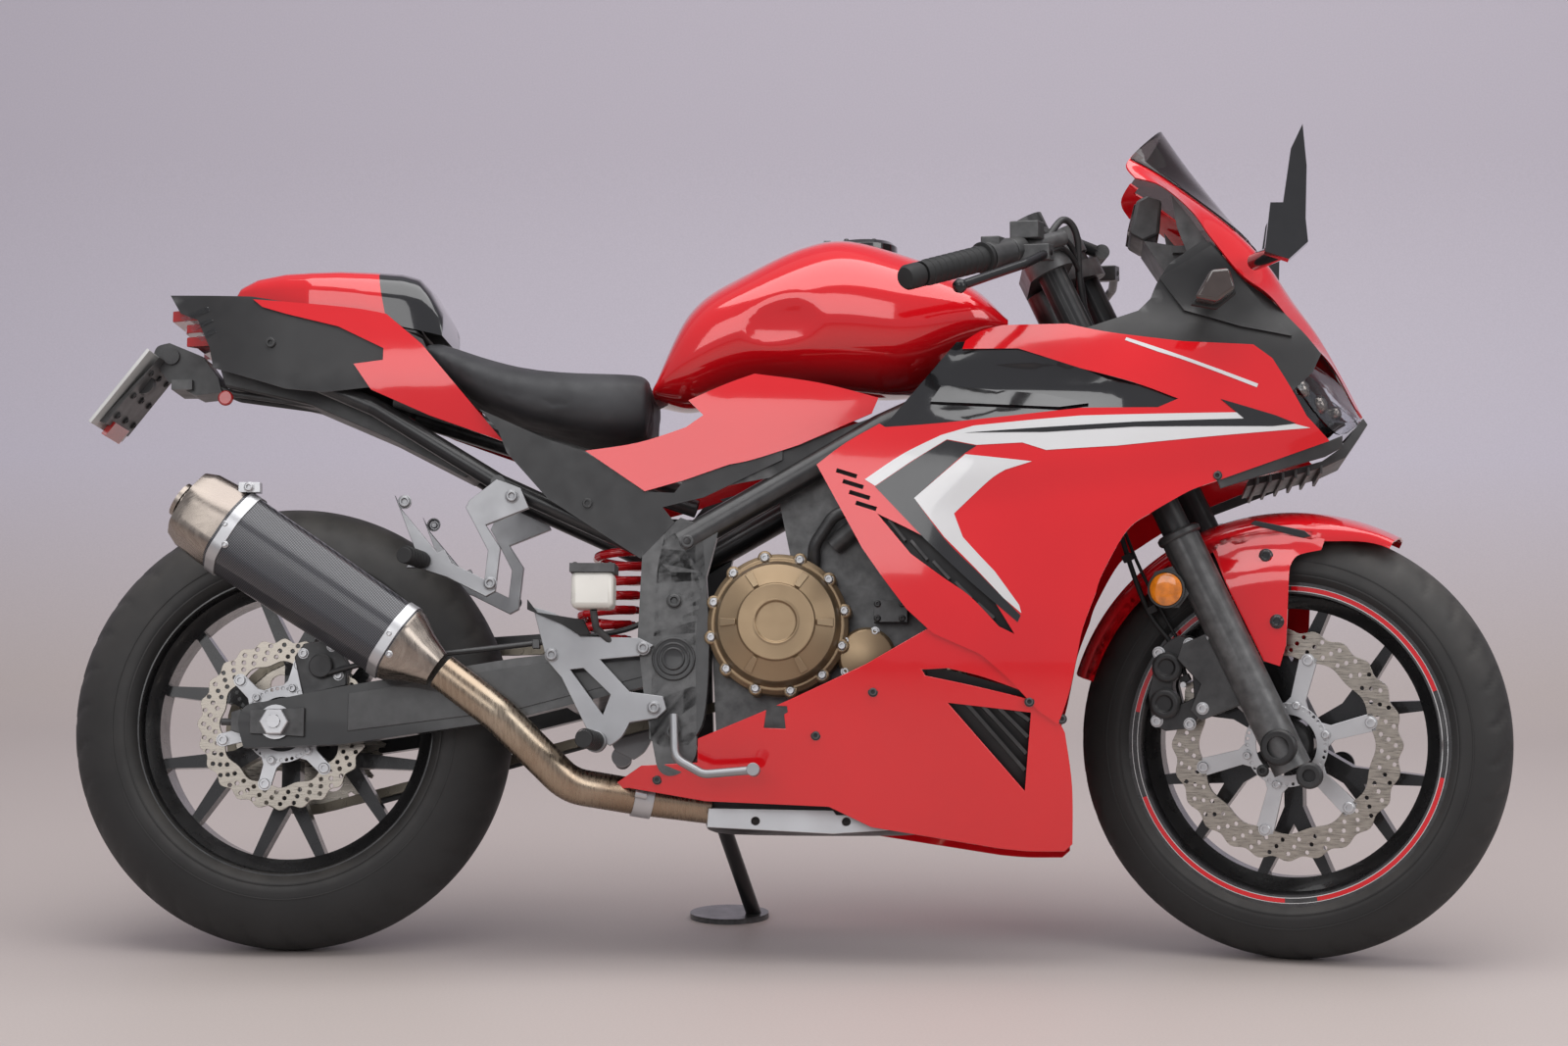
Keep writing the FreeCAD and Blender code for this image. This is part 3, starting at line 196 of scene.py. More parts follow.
RED = rgb(0.74, 0.006, 0.012)
finishes = {
    "red_paint": finish("gloss_red", RED, 0.12, coat=1.0, shift=0.05, patch=4.0, grain=700.0,
                        depth=0.006, rough_spread=0.03),
    "tank_paint": finish("gloss_red_metal", RED, 0.10, metallic=0.05, coat=1.0, shift=0.05, patch=3.0,
                         grain=600.0, depth=0.005, rough_spread=0.03),
    "black_plastic": finish("grained_black", rgb(0.018, 0.018, 0.019), 0.42, grain=2200.0, depth=0.12,
                            worn=0.5, dusty=0.10),
    "black_gloss": finish("gloss_black", rgb(0.010, 0.010, 0.011), 0.12, coat=1.0, grain=700.0, depth=0.006,
                          rough_spread=0.03),
    "black_frame": finish("satin_black_frame", rgb(0.013, 0.013, 0.014), 0.34, coat=0.25, grain=1500.0,
                          depth=0.05, worn=0.4, dusty=0.08),
    "black_casting": finish("satin_black_casting", rgb(0.022, 0.022, 0.023), 0.40, metallic=0.35,
                            grain=1400.0, depth=0.10, worn=0.6, dusty=0.08),
    "bronze_casting": finish("bronze_casting", rgb(0.30, 0.215, 0.13), 0.36, metallic=0.75, grain=1600.0,
                             depth=0.06, worn=0.3, worn_colour=rgb(0.5, 0.42, 0.3)),
    "silver_casting": finish("blasted_alloy", rgb(0.55, 0.55, 0.56), 0.40, metallic=0.9, grain=1800.0,
                             depth=0.05, worn=0.3, worn_colour=rgb(0.75, 0.75, 0.76)),
    "rim_black": finish("rim_black", rgb(0.016, 0.016, 0.017), 0.28, metallic=0.3, coat=0.4, grain=1500.0,
                        depth=0.03, worn=0.3, dusty=0.06),
    "disc_steel": brushed("brushed_disc", rgb(0.42, 0.38, 0.33), 0.30, (1, 1, 9)),
    "exhaust_steel": brushed("tinted_pipe", rgb(0.42, 0.35, 0.27), 0.28, (6, 1, 1), rgb(0.30, 0.20, 0.13)),
    "carbon": woven("woven_sleeve"),
    "cap_metal": brushed("smoky_cap", rgb(0.40, 0.35, 0.30), 0.26, (1, 8, 1), rgb(0.26, 0.22, 0.20)),
    "tyre": finish("tyre_rubber", rgb(0.020, 0.020, 0.020), 0.62, grain=1500.0, depth=0.10, shift=0.25,
                   dusty=0.25),
    "rubber": finish("moulded_rubber", rgb(0.014, 0.014, 0.014), 0.60, grain=2600.0, depth=0.12),
    "seat_cover": leather("seat_cover"),
    "smoke_screen": clear("smoke_screen", rgb(0.20, 0.17, 0.16)),
    "lamp_glass": clear("lamp_glass", rgb(0.90, 0.92, 0.94)),
    "red_lens": finish("red_lens", rgb(0.40, 0.012, 0.012), 0.10, coat=1.0, patch=60.0),
    "amber_lens": finish("amber_lens", rgb(0.78, 0.22, 0.012), 0.12, coat=1.0, patch=80.0, shift=0.3),
    "mirror_black": finish("mirror_shell", rgb(0.012, 0.012, 0.013), 0.14, coat=0.9, grain=800.0, depth=0.01),
    "fluid_plastic": finish("milky_plastic", rgb(0.74, 0.72, 0.66), 0.32, coat=0.3, grain=900.0, depth=0.03),
    "plate_blank": finish("blank_plate", rgb(0.62, 0.62, 0.60), 0.38, grain=900.0, depth=0.02, dusty=0.1),
    "chain_steel": finish("oiled_chain", rgb(0.16, 0.14, 0.11), 0.34, metallic=0.85, grain=900.0, depth=0.05),
    "decal_white": finish("white_band", rgb(0.72, 0.72, 0.72), 0.16, coat=1.0, shift=0.03, grain=700.0,
                          depth=0.004),
    "smoky_lens": finish("smoky_lens", rgb(0.05, 0.035, 0.03), 0.12, coat=1.0, patch=60.0),
    "hanger_silver": finish("brushed_hanger", rgb(0.34, 0.34, 0.35), 0.42, metallic=0.85, grain=1800.0,
                            depth=0.05, worn=0.3, worn_colour=rgb(0.5, 0.5, 0.5)),
    "lever_black": finish("lever_black", rgb(0.02, 0.02, 0.021), 0.3, metallic=0.4, coat=0.3, grain=1400.0,
                          depth=0.03),
}

# Frames of the bike, in millimetres: upright, steered, and along the fork

RAKE = math.radians(25.5)
WHEELBASE = 1410            # from the rear axle to the front one
STEERING_FOOT = 1512        # where the steering axis meets the floor
FRONT_RADIUS, REAR_RADIUS = 300, 312
JOINTS = {joint["name"]: joint for joint in frame["record"]["behaviour"]["joints"]}
STEERING_UP = Vector(JOINTS["steering"]["axis"]).normalized()


def upright(wheel, hub):
    """X ahead, Y left and Z up of the bike, from a wheel's axle and where its hub lies there."""
    across = Vector(JOINTS[wheel]["axis"]).normalized()
    ahead = across.cross(STEERING_UP)
    x = ahead * math.cos(RAKE) - STEERING_UP * math.sin(RAKE)
    z = ahead * math.sin(RAKE) + STEERING_UP * math.cos(RAKE)
    turn = Matrix((x, across, z)).transposed().to_4x4()
    start = Matrix.Translation(Vector(JOINTS[wheel]["pos_m"]))
    return start @ turn @ Matrix.Scale(MM, 4) @ Matrix.Translation(-Vector(hub))


BIKE = upright("rear_wheel_spin", (0, 0, REAR_RADIUS))
STEERED = upright("front_wheel_spin", (WHEELBASE, 0, FRONT_RADIUS))
FORK = STEERED @ Matrix.Translation((STEERING_FOOT, 0, 0)) @ Matrix.Rotation(-RAKE, 4, "Y")
REAR_WHEEL = BIKE @ Matrix.Translation((0, 0, REAR_RADIUS))
FRONT_WHEEL = STEERED @ Matrix.Translation((WHEELBASE, 0, FRONT_RADIUS))


# Outlines and forms

def bend_through(before, start, end, after, share):
    """A point of the smooth curve from start to end."""
    a, b, c, d = (Vector(point) for point in (before, start, end, after))
    return 0.5 * (2 * b + (c - a) * share + (2 * a - 5 * b + 4 * c - d) * share ** 2
                  + (3 * b - a - 3 * c + d) * share ** 3)


def smooth_line(points, steps=6):
    """A smooth curve through points, with so many steps between each two."""
    line = [Vector(points[0])]
    for index in range(len(points) - 1):
        before = points[max(index - 1, 0)]
        after = points[min(index + 2, len(points) - 1)]
        for step in range(1, steps + 1):
            line.append(bend_through(before, points[index], points[index + 1], after, step / steps))
    return line


def corner_arc(entry, corner, leave, steps):
    """Points that round a corner off, from the entry to the leave."""
    shares = [step / steps for step in range(steps + 1)]
    return [entry * (1 - t) ** 2 + corner * 2 * t * (1 - t) + leave * t ** 2 for t in shares]


def outline_of(items, steps=6):
    """An outline's points. A pair is a corner, and a list of pairs a curve from the pair before."""
    line = [Vector(items[0])]
    for item in items[1:]:
        if isinstance(item, list):
            line += smooth_line([line[-1]] + item, steps)[1:]
        else:
            line.append(Vector(item))
    return line


def divided(line, step):
    """A closed outline with no edge longer than the step."""
    out = []
    for here, after in zip(line, line[1:] + line[:1]):
        count = max(1, int((after - here).length / step + 0.999))
        out += [here.lerp(after, share / count) for share in range(count)]
    return out


def holds(line, point):
    """Whether a closed outline goes round a point."""
    within = False
    x, z = point
    for (ax, az), (bx, bz) in zip(line, line[1:] + line[:1]):
        if (az > z) != (bz > z) and x < (bx - ax) * (z - az) / (bz - az) + ax:
            within = not within
    return within


def fill(outline, holes=(), step=None):
    """Triangles inside an outline and outside its holes, with a grid of points between."""
    loops = [divided(line, step) if step else list(line) for line in [outline] + list(holes)]
    points, edges = [], []
    for loop in loops:
        start = len(points)
        points += loop
        edges += [(start + index, start + (index + 1) % len(loop)) for index in range(len(loop))]
    if step:
        rim = KDTree(len(points))
        for index, point in enumerate(points):
            rim.insert((point.x, point.y, 0), index)
        rim.balance()
        low = (min(p.x for p in outline), min(p.y for p in outline))
        high = (max(p.x for p in outline), max(p.y for p in outline))
        for row in range(int((high[1] - low[1]) / step) + 1):
            for column in range(int((high[0] - low[0]) / step) + 1):
                point = Vector((low[0] + (column + 0.5 * (row % 2)) * step, low[1] + row * step))
                if rim.find((point.x, point.y, 0))[2] < 0.55 * step or not holds(loops[0], point):
                    continue
                if not any(holds(loop, point) for loop in loops[1:]):
                    points.append(point)
    flat, _, faces = delaunay_2d_cdt(points, edges, [], 0, 1e-4)[:3]
    kept = []
    for face in faces:
        a, b, c = (flat[index] for index in face)
        middle = (a + b + c) / 3
        if not holds(loops[0], middle) or any(holds(loop, middle) for loop in loops[1:]):
            continue
        turned = (b - a).cross(c - a)
        if abs(turned) > 1e-6:
            kept.append(tuple(face) if turned > 0 else tuple(reversed(face)))
    return flat, kept


class Form:
    """Faces gathered in millimetres, then made into one piece that rides a body."""

    def __init__(self):
        self.points = []
        self.faces = []
        self.slots = []
        self.slot = 0

    def paint(self, slot):
        """The faces added from here on take this slot of the piece."""
        self.slot = slot
        return self

    def add(self, points, faces):
        start = len(self.points)
        self.points += [Vector(point) for point in points]
        self.faces += [tuple(start + index for index in face) for face in faces]
        self.slots += [self.slot] * len(faces)
        return self

    def shell(self, outer, inner, faces):
        """Two sheets with the same faces, joined along their open rims."""
        count = len(outer)
        used = dict.fromkeys(pair for face in faces for pair in zip(face, face[1:] + face[:1]))
        back = [tuple(count + index for index in reversed(face)) for face in faces]
        walls = [(b, a, a + count, b + count) for a, b in used if (b, a) not in used]
        return self.add(list(outer) + list(inner), list(faces) + back + walls)

    def thick(self, points, faces, inward):
        """A sheet given a wall, with its rim closed."""
        return self.shell(points, [Vector(point) + Vector(inward) for point in points], faces)

    def plate(self, outline, y_from, y_to, holes=()):
        """An outline of the side view between two distances from the middle, with holes."""
        flat, faces = fill(outline_of(outline), [outline_of(hole) for hole in holes])
        low, high = min(y_from, y_to), max(y_from, y_to)
        return self.thick([(p.x, low, p.y) for p in flat], faces, (0, high - low, 0))

    def skin(self, outline, half_width, wall=3.0, lift=0.0, holes=(), step=16, sides=(-1, 1)):
        """A curved side panel whose outer face lies half_width(x, z) from the middle."""
        flat, faces = fill(outline_of(outline), [outline_of(hole) for hole in holes], step)
        for side in sides:
            points = [(p.x, side * (half_width(p.x, p.y) + lift), p.y) for p in flat]
            turned = faces if side < 0 else [tuple(reversed(face)) for face in faces]
            self.thick(points, turned, (0, -side * wall, 0))
        return self

    def loft(self, rings, closed_ends=True, wrap=False):
        """A skin over rings of equally many points; wrap joins the last to the first."""
        count = len(rings[0])
        total = len(rings)
        faces = []
        for row in range(total if wrap else total - 1):
            a, b = row * count, ((row + 1) % total) * count
            for index in range(count):
                after = (index + 1) % count
                faces.append((a + index, a + after, b + after, b + index))
        if closed_ends and not wrap:
            faces += [tuple(reversed(range(count))), tuple(range((total - 1) * count, total * count))]
        return self.add([point for ring in rings for point in ring], faces)

    def lathe(self, profile, base, axis=(0, -1, 0), steps=40):
        """A solid turned about an axis through its base, from (radius, height) pairs."""
        along = Vector(axis).normalized()
        side = along.orthogonal().normalized()
        if abs(along.y) > 0.9:
            side = Vector((1, 0, 0)) - along * along.x
            side.normalize()
        other = along.cross(side)
        rings = []
        for radius, height in profile:
            rings.append([Vector(base) + along * height + (side * math.cos(a) + other * math.sin(a)) * radius
                          for a in (math.tau * step / steps for step in range(steps))])
        return self.loft(rings, closed_ends=False)

    def rod(self, start, end, radius, radius_end=None, steps=20):
        """A straight round bar, tapered if its end's radius is given."""
        start, end = Vector(start), Vector(end)
        length = (end - start).length
        last = radius if radius_end is None else radius_end
        return self.lathe([(0, 0), (radius, 0), (last, length), (0, length)], start, end - start, steps)

    def bolt(self, place, axis=(0, -1, 0), radius=7, height=6, steps=18):
        """A round head with a hollow for its key."""
        deep = radius * 0.52
        return self.lathe([(radius * 1.25, 0), (radius * 1.25, 1), (radius, 1), (radius, height - 1),
                           (radius - 1, height), (deep, height), (deep, height * 0.4), (0, height * 0.4)],
                          place, axis, steps)

    def nut(self, place, axis=(0, -1, 0), radius=12, height=9):
        """A hexagon nut on its washer."""
        self.lathe([(radius * 1.2, 0), (radius * 1.2, 1.5), (0, 1.5)], place, axis, 24)
        return self.lathe([(radius, 1), (radius, height - 1), (radius - 1.5, height), (radius * 0.5, height),
                           (radius * 0.5, height - 3), (0, height - 3)], place, axis, 6)

    def tube(self, points, radius, bend=20, sides=12, smooth=False):
        """A round run along straight pieces joined by arcs, or along a smooth line."""
        corners = [Vector(point) for point in points]
        line = smooth_line(corners, 8) if smooth else [corners[0]]
        if not smooth:
            for before, corner, after in zip(corners, corners[1:], corners[2:]):
                back, ahead = (before - corner).normalized(), (after - corner).normalized()
                half = back.angle(ahead) / 2
                reach = min(bend / math.tan(half), 0.48 * (before - corner).length,
                            0.48 * (after - corner).length)
                line += corner_arc(corner + back * reach, corner, corner + ahead * reach, 6)
            line.append(corners[-1])
        side = (line[1] - line[0]).orthogonal().normalized()
        rings = []
        for index, point in enumerate(line):
            along = (line[min(index + 1, len(line) - 1)] - line[max(index - 1, 0)]).normalized()
            side = (side - along * side.dot(along)).normalized()
            other = along.cross(side)
            rings.append([point + (side * math.cos(a) + other * math.sin(a)) * radius
                          for a in (math.tau * step / sides for step in range(sides))])
        return self.loft(rings)

    def block(self, centre, size):
        """A box about a centre, for a small lug or clip whose edges are rounded later."""
        half = Vector(size) / 2
        corners = [Vector(centre) + Vector((a * half.x, b * half.y, c * half.z)) for c in (-1, 1)
                   for a, b in ((-1, -1), (1, -1), (1, 1), (-1, 1))]
        return self.add(corners, [(3, 2, 1, 0), (4, 5, 6, 7), (0, 1, 5, 4), (1, 2, 6, 5), (2, 3, 7, 6),
                                  (3, 0, 4, 7)])

    def mirror(self):
        """The whole form once more on the other side."""
        shift = len(self.points)
        self.points += [Vector((p.x, -p.y, p.z)) for p in self.points]
        self.faces += [tuple(index + shift for index in reversed(face)) for face in self.faces]
        self.slots += self.slots
        return self

    def piece(self, name, slots, place=None, body="root", replaces=(), bevel=0.0, sharp=32):
        """One object in the row frame, with a finish for each slot, that rides a body."""
        place = BIKE if place is None else place
        mesh = bpy.data.meshes.new(name)
        mesh.from_pydata([place @ point for point in self.points], [], self.faces)
        for slot in slots:
            mesh.materials.append(finishes[slot].material)
        mesh.polygons.foreach_set("material_index", self.slots)
        tidy = bmesh.new()
        tidy.from_mesh(mesh)
        bmesh.ops.remove_doubles(tidy, verts=tidy.verts, dist=0.00002)
        bmesh.ops.dissolve_degenerate(tidy, edges=tidy.edges, dist=0.00001)
        bmesh.ops.recalc_face_normals(tidy, faces=tidy.faces)
        tidy.to_mesh(mesh)
        tidy.free()
        mesh.polygons.foreach_set("use_smooth", [True] * len(mesh.polygons))
        mesh.set_sharp_from_angle(angle=math.radians(sharp))
        thing = bpy.data.objects.new(name, mesh)
        bpy.context.scene.collection.objects.link(thing)
        if bevel:
            edge = thing.modifiers.new("edges", "BEVEL")
            edge.width = bevel * MM
            edge.segments = 2
            edge.limit_method = "ANGLE"
            edge.angle_limit = math.radians(sharp + 8)
            edge.use_clamp_overlap = True
        weighted = thing.modifiers.new("weighted", "WEIGHTED_NORMAL")
        weighted.keep_sharp = True
        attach(thing, body)
        if replaces:
            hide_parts(*replaces)
        return thing


def fine_grid(rows, steps=6):
    """A smooth surface through rows of points, as rows of more points."""
    lines = [smooth_line(row, steps) for row in rows]
    columns = [smooth_line([line[index] for line in lines], steps) for index in range(len(lines[0]))]
    return [[column[index] for column in columns] for index in range(len(columns[0]))]


def sheet_faces(rows, columns):
    """The quads of a grid whose points are listed row by row."""
    return [(r * columns + c, r * columns + c + 1, (r + 1) * columns + c + 1, (r + 1) * columns + c)
            for r in range(rows - 1) for c in range(columns - 1)]


def ring(centre, half_width, half_height, squareness, count):
    """A rounded section across the bike."""
    points = []
    for step in range(count):
        angle = math.tau * step / count
        side = math.copysign(abs(math.cos(angle)) ** (2 / squareness), math.cos(angle)) * half_width
        rise = math.copysign(abs(math.sin(angle)) ** (2 / squareness), math.sin(angle)) * half_height
        points.append(Vector(centre) + Vector((0, side, rise)))
    return points


def smoothed_rings(rings, steps=5):
    """More rings between the given ones, on smooth lines through their points."""
    columns = [smooth_line([loop[index] for loop in rings], steps) for index in range(len(rings[0]))]
    return [[column[index] for column in columns] for index in range(len(columns[0]))]


def circle(x, z, radius, steps=12, start=0.0):
    """Points around a centre: an outline, or the places of a ring of bolts or holes."""
    angles = [math.tau * step / steps + start for step in range(steps)]
    return [(x + radius * math.cos(angle), z + radius * math.sin(angle)) for angle in angles]


def arc_band(form, inner, outer, first, last, y, side, thick=0.4):
    """A flat arc between two radii, lying on a wheel's side."""
    count = max(4, int((last - first) / 3))
    points = []
    for step in range(count + 1):
        angle = math.radians(first + (last - first) * step / count)
        points += [(r * math.cos(angle), y, r * math.sin(angle)) for r in (inner, outer)]
    faces = [(2 * i, 2 * i + 1, 2 * i + 3, 2 * i + 2) for i in range(count)]
    if side > 0:
        faces = [tuple(reversed(face)) for face in faces]
    form.thick(points, faces, (0, -side * thick, 0))


slot_of = {part["node"]: part["material_slot"] for part in frame["record"]["subparts"]}
for name, thing in NODES.items():
    painted = finishes[slot_of[name]].material
    thing.data.materials.clear()
    thing.data.materials.append(painted)
    for polygon in thing.data.polygons:
        polygon.use_smooth = True
    smooth = thing.modifiers.new("smooth_by_angle", "WEIGHTED_NORMAL")
    smooth.keep_sharp = True


# Bodywork

def eased(value, low, high):
    """0 below low, 1 above high, and a smooth step between."""
    share = min(1.0, max(0.0, (value - low) / (high - low)))
    return share * share * (3 - 2 * share)


def flank(x, z):
    """Half width of the side fairing: widest beside the engine, drawn in to nose and belly."""
    forward = max(0.0, (x - 900) / 560)
    back = max(0.0, (900 - x) / 560)
    up = max(0.0, (z - 560) / 300)
    down = max(0.0, (560 - z) / 410)
    pinch = 1 - 0.45 * eased(z, 620, 860)
    fold = 7 * eased(z - 0.16 * x, 440, 505) * eased(x, 850, 980)
    return 226 - 108 * forward ** 2 * pinch - 60 * back ** 2 - 48 * up ** 2 - 88 * down ** 2 + fold - 3.5


def belly_flank(x, z):
    """The belly cowl lies just inside the fairing, which overlaps it."""
    return flank(x, z) - 3.3


def duct_flank(x, z):
    """The black duct: a hollow pressed into the fairing's side."""
    along = max(0.0, 1 - ((x - 1040) / 150) ** 2)
    across = max(0.0, 1 - ((z - 772) / 40) ** 2)
    return belly_flank(x, z) - 1 - 20 * along * across


def nose_flank(x, z):
    """The black nose side: flush with the fairing below, and drawn in to the nose above."""
    share = eased(z, 850, 960)
    upper = 146 - 62 * (max(0.0, x - 1280) / 155) ** 1.6
    return belly_flank(x, z) * (1 - share) + upper * share


def tail_flank(x, z):
    """The red tail panels, narrower to the rear and rounded above and below."""
    rear = 45 * (max(0.0, -x) / 190) ** 1.5
    top = 16 * max(0.0, (z - 800) / 120) ** 1.5
    bottom = 14 * max(0.0, (800 - z) / 90) ** 1.5
    return 108 + 25 * max(0.0, x / 300) - rear - top - bottom


def cowl_flank(x, z):
    """The black tail, under the red panels."""
    return tail_flank(x, z) - 3.3


def cover_flank(x, z):
    """The red covers between tank and frame."""
    return 152 - 12 * ((x - 650) / 300) ** 2 - 10 * (max(0.0, z - 730) / 80) ** 2


def black_flank(x, z):
    """The black covers, under the red ones' edge."""
    return cover_flank(x, z) - 3.3


def ribbon(start, end, width):
    """The outline of a straight band of one width."""
    (x, z), (x_end, z_end) = start, end
    length = math.hypot(x_end - x, z_end - z)
    dx, dz = -(z_end - z) / length * width / 2, (x_end - x) / length * width / 2
    return [(x - dx, z - dz), (x + dx, z + dz), (x_end + dx, z_end + dz), (x_end - dx, z_end - dz)]


def build_fairings():
    """The side fairings, the black ducts let into them and the belly cowl, with what lies behind."""
    fairing = Form()
    intake = [(834, 592), [(912, 552), (954, 515), (995, 470)], (1020, 430), (999, 440),
              [(960, 480), (924, 505), (880, 537)]]
    vents = [ribbon((778 + 9 * step, 652 - 15 * step), (806 + 9 * step, 643 - 15 * step), 6)
             for step in range(4)]
    fairing.skin([
        (751, 660), [(790, 690), (836, 717)], (844, 712), [(930, 718), (1010, 727)], (1110, 740),
        (1214, 743), (1242, 756), [(1180, 778), (1110, 796)], (1024, 824), (948, 823), (952, 835),
        [(975, 850), (1003, 858)], (1091, 861), [(1151, 849), (1250, 838)], (1346, 836), (1372, 817),
        [(1396, 778), (1419, 738)], (1451, 706), (1415, 692), (1295, 645), [(1262, 632), (1242, 621)],
        [(1205, 598), (1172, 573), (1139, 515), (1129, 486)], [(1112, 440), (1105, 407)],
        [(1094, 355), (1079, 310)], (1052, 328), [(1010, 372), (973, 403)], (910, 430), (874, 463),
        [(840, 508), (814, 545)]], flank, holes=[intake] + vents, step=9)
    fairing.piece("fairing_shells", ["red_paint"], replaces=["side_fairings"], bevel=0.9)

    liner = Form()
    liner.skin([(760, 650), (840, 700), (960, 700), (1100, 600), (1060, 380), (960, 415), (860, 490)],
               lambda x, z: flank(x, z) - 20, wall=2)
    for step in range(5):
        liner.skin(ribbon((850 + 30 * step, 584 - 28 * step), (872 + 30 * step, 556 - 26 * step), 4),
                   lambda x, z: flank(x, z) - 6, wall=12)
    liner.piece("fairing_liners", ["black_plastic"], bevel=0.5)

    duct = Form()
    duct.skin([(836, 706), (1010, 716), (1110, 730), (1216, 734), (1256, 752), (1214, 776),
               (1112, 808), (1026, 838), (940, 834)], duct_flank)
    duct.skin([(905, 748), (1080, 742), (1120, 748), (1060, 762), (920, 772)],
              lambda x, z: duct_flank(x, z) + 5, wall=6)
    duct.piece("duct_shells", ["black_gloss"], replaces=["duct_panels"], bevel=0.8)

    belly = Form()
    window = [(680, 304), (684, 330), (690, 334), (712, 333), (713, 325), (708, 322), (710, 303)]
    vent = [(930, 338), (1042, 326), (1034, 222)]
    slot = [(895, 382), (900, 374), [(960, 362), (1040, 344)], (1046, 349), [(980, 372), (930, 384)]]
    belly.skin([
        (461, 222), (510, 254), (588, 258), (589, 290), [(700, 335), (819, 389)], (908, 440),
        [(985, 412), (1040, 356)], (1077, 322), (1088, 300), [(1098, 230), (1099, 152)], (1088, 142),
        [(1040, 142), (1001, 145)], (826, 172), (768, 199), (599, 206), (492, 224)], belly_flank,
        holes=[window, vent, slot, circle(751, 294, 5, 10)], step=14)
    belly.piece("belly_shells", ["red_paint"], replaces=["belly_cowls"], bevel=0.9)
    louvres = Form()
    louvres.skin([(900, 392), (1052, 352), (1040, 206), (910, 330)],
                 lambda x, z: belly_flank(x, z) - 22, wall=2)
    for step in range(4):
        louvres.skin(ribbon((955 + 22 * step, 338 - 3 * step), (1034 + 2 * step, 250 + 22 * step), 5),
                     lambda x, z: belly_flank(x, z) - 3, wall=15)
    louvres.piece("belly_louvres", ["black_plastic"], bevel=0.5)

    screws = Form()
    for x, z, half_width in ((532, 235, belly_flank), (751, 294, belly_flank), (1295, 652, flank),
                             (1040, 340, flank), (1084, 318, belly_flank), (829, 352, belly_flank)):
        screws.bolt((x, -half_width(x, z) + 0.6, z), radius=5.5, height=4)
        if x != 532:
            screws.bolt((x, half_width(x, z) - 0.6, z), (0, 1, 0), radius=5.5, height=4)
    screws.piece("panel_screws", ["black_casting"])


def build_decals():
    """Plain white and black bands on the main fairing."""
    white, black = Form(), Form()
    white.skin([(817, 639), [(868, 674), (920, 700)], (964, 713), (1043, 722), (1110, 729), (1337, 740),
                (1424, 722), (1295, 706), (1158, 688), (1062, 680), (1030, 690), (968, 686), (928, 694),
                (880, 664), (831, 630)], flank, wall=0.4, lift=0.6, step=7)
    white.skin([(884, 613), (953, 673), (1043, 664), (1007, 652), [(985, 637), (938, 592)], (950, 560),
                [(970, 538), (993, 514)], (1026, 469), (1029, 458), (1005, 478), [(965, 520), (925, 560)]],
               flank, wall=0.4, lift=0.6, step=7)
    black.skin([(831, 629), [(880, 663), (928, 693)], (968, 685), (953, 675), (884, 613),
                [(925, 558), (965, 518)], (1028, 455), (1024, 446), [(960, 500), (900, 556)]],
               flank, wall=0.4, lift=0.6, step=7)
    black.skin([(953, 703), (1062, 712), (1184, 722), (1332, 731), (1300, 757), (1376, 737), (1404, 727),
                (1372, 722), (1184, 715), (1062, 705)], flank, wall=0.4, lift=1.0, step=7)
    white.skin([(1172, 842), [(1215, 828), (1259, 813)], (1352, 780), (1350, 775), [(1259, 808), (1215, 822)],
                (1170, 838)], flank, wall=0.4, lift=0.6, step=7)
    white.piece("white_bands", ["decal_white"])
    black.piece("black_bands", ["black_gloss"])


def build_covers():
    """The red covers under the tank and the black ones under the seat."""
    red = Form()
    red.skin([(569, 759), [(620, 782), (660, 797)], [(750, 784), (832, 763)], (823, 741),
              (722, 696), [(660, 676), (627, 669)], (567, 648), (510, 632), (426, 689),
              [(500, 700), (566, 721)], (590, 738)], cover_flank, step=12)
    red.piece("flank_shells", ["red_paint"], replaces=["flank_covers"], bevel=0.9)
    black = Form()
    black.skin([(205, 827), (275, 750), (372, 706), (423, 689), (470, 660), (508, 632),
                (551, 630), (565, 648), (626, 668), (700, 690), (700, 676), (592, 624),
                (535, 610), (552, 589), (505, 539), (374, 623), (315, 688), (302, 720)], black_flank, step=12)
    for side in (-1, 1):
        black.bolt((430, side * black_flank(430, 616), 616), (0, side, 0), 7, 4)
    black.piece("frame_shells", ["black_plastic"], replaces=["frame_covers"], bevel=0.9)
    grey = Form()
    grey.skin([(590, 660), (700, 690), (820, 735), (860, 742), (800, 700), (700, 655), (620, 640)],
              lambda x, z: cover_flank(x, z) - 8, wall=2)
    grey.piece("spar_fillers", ["black_plastic"], bevel=0.6)


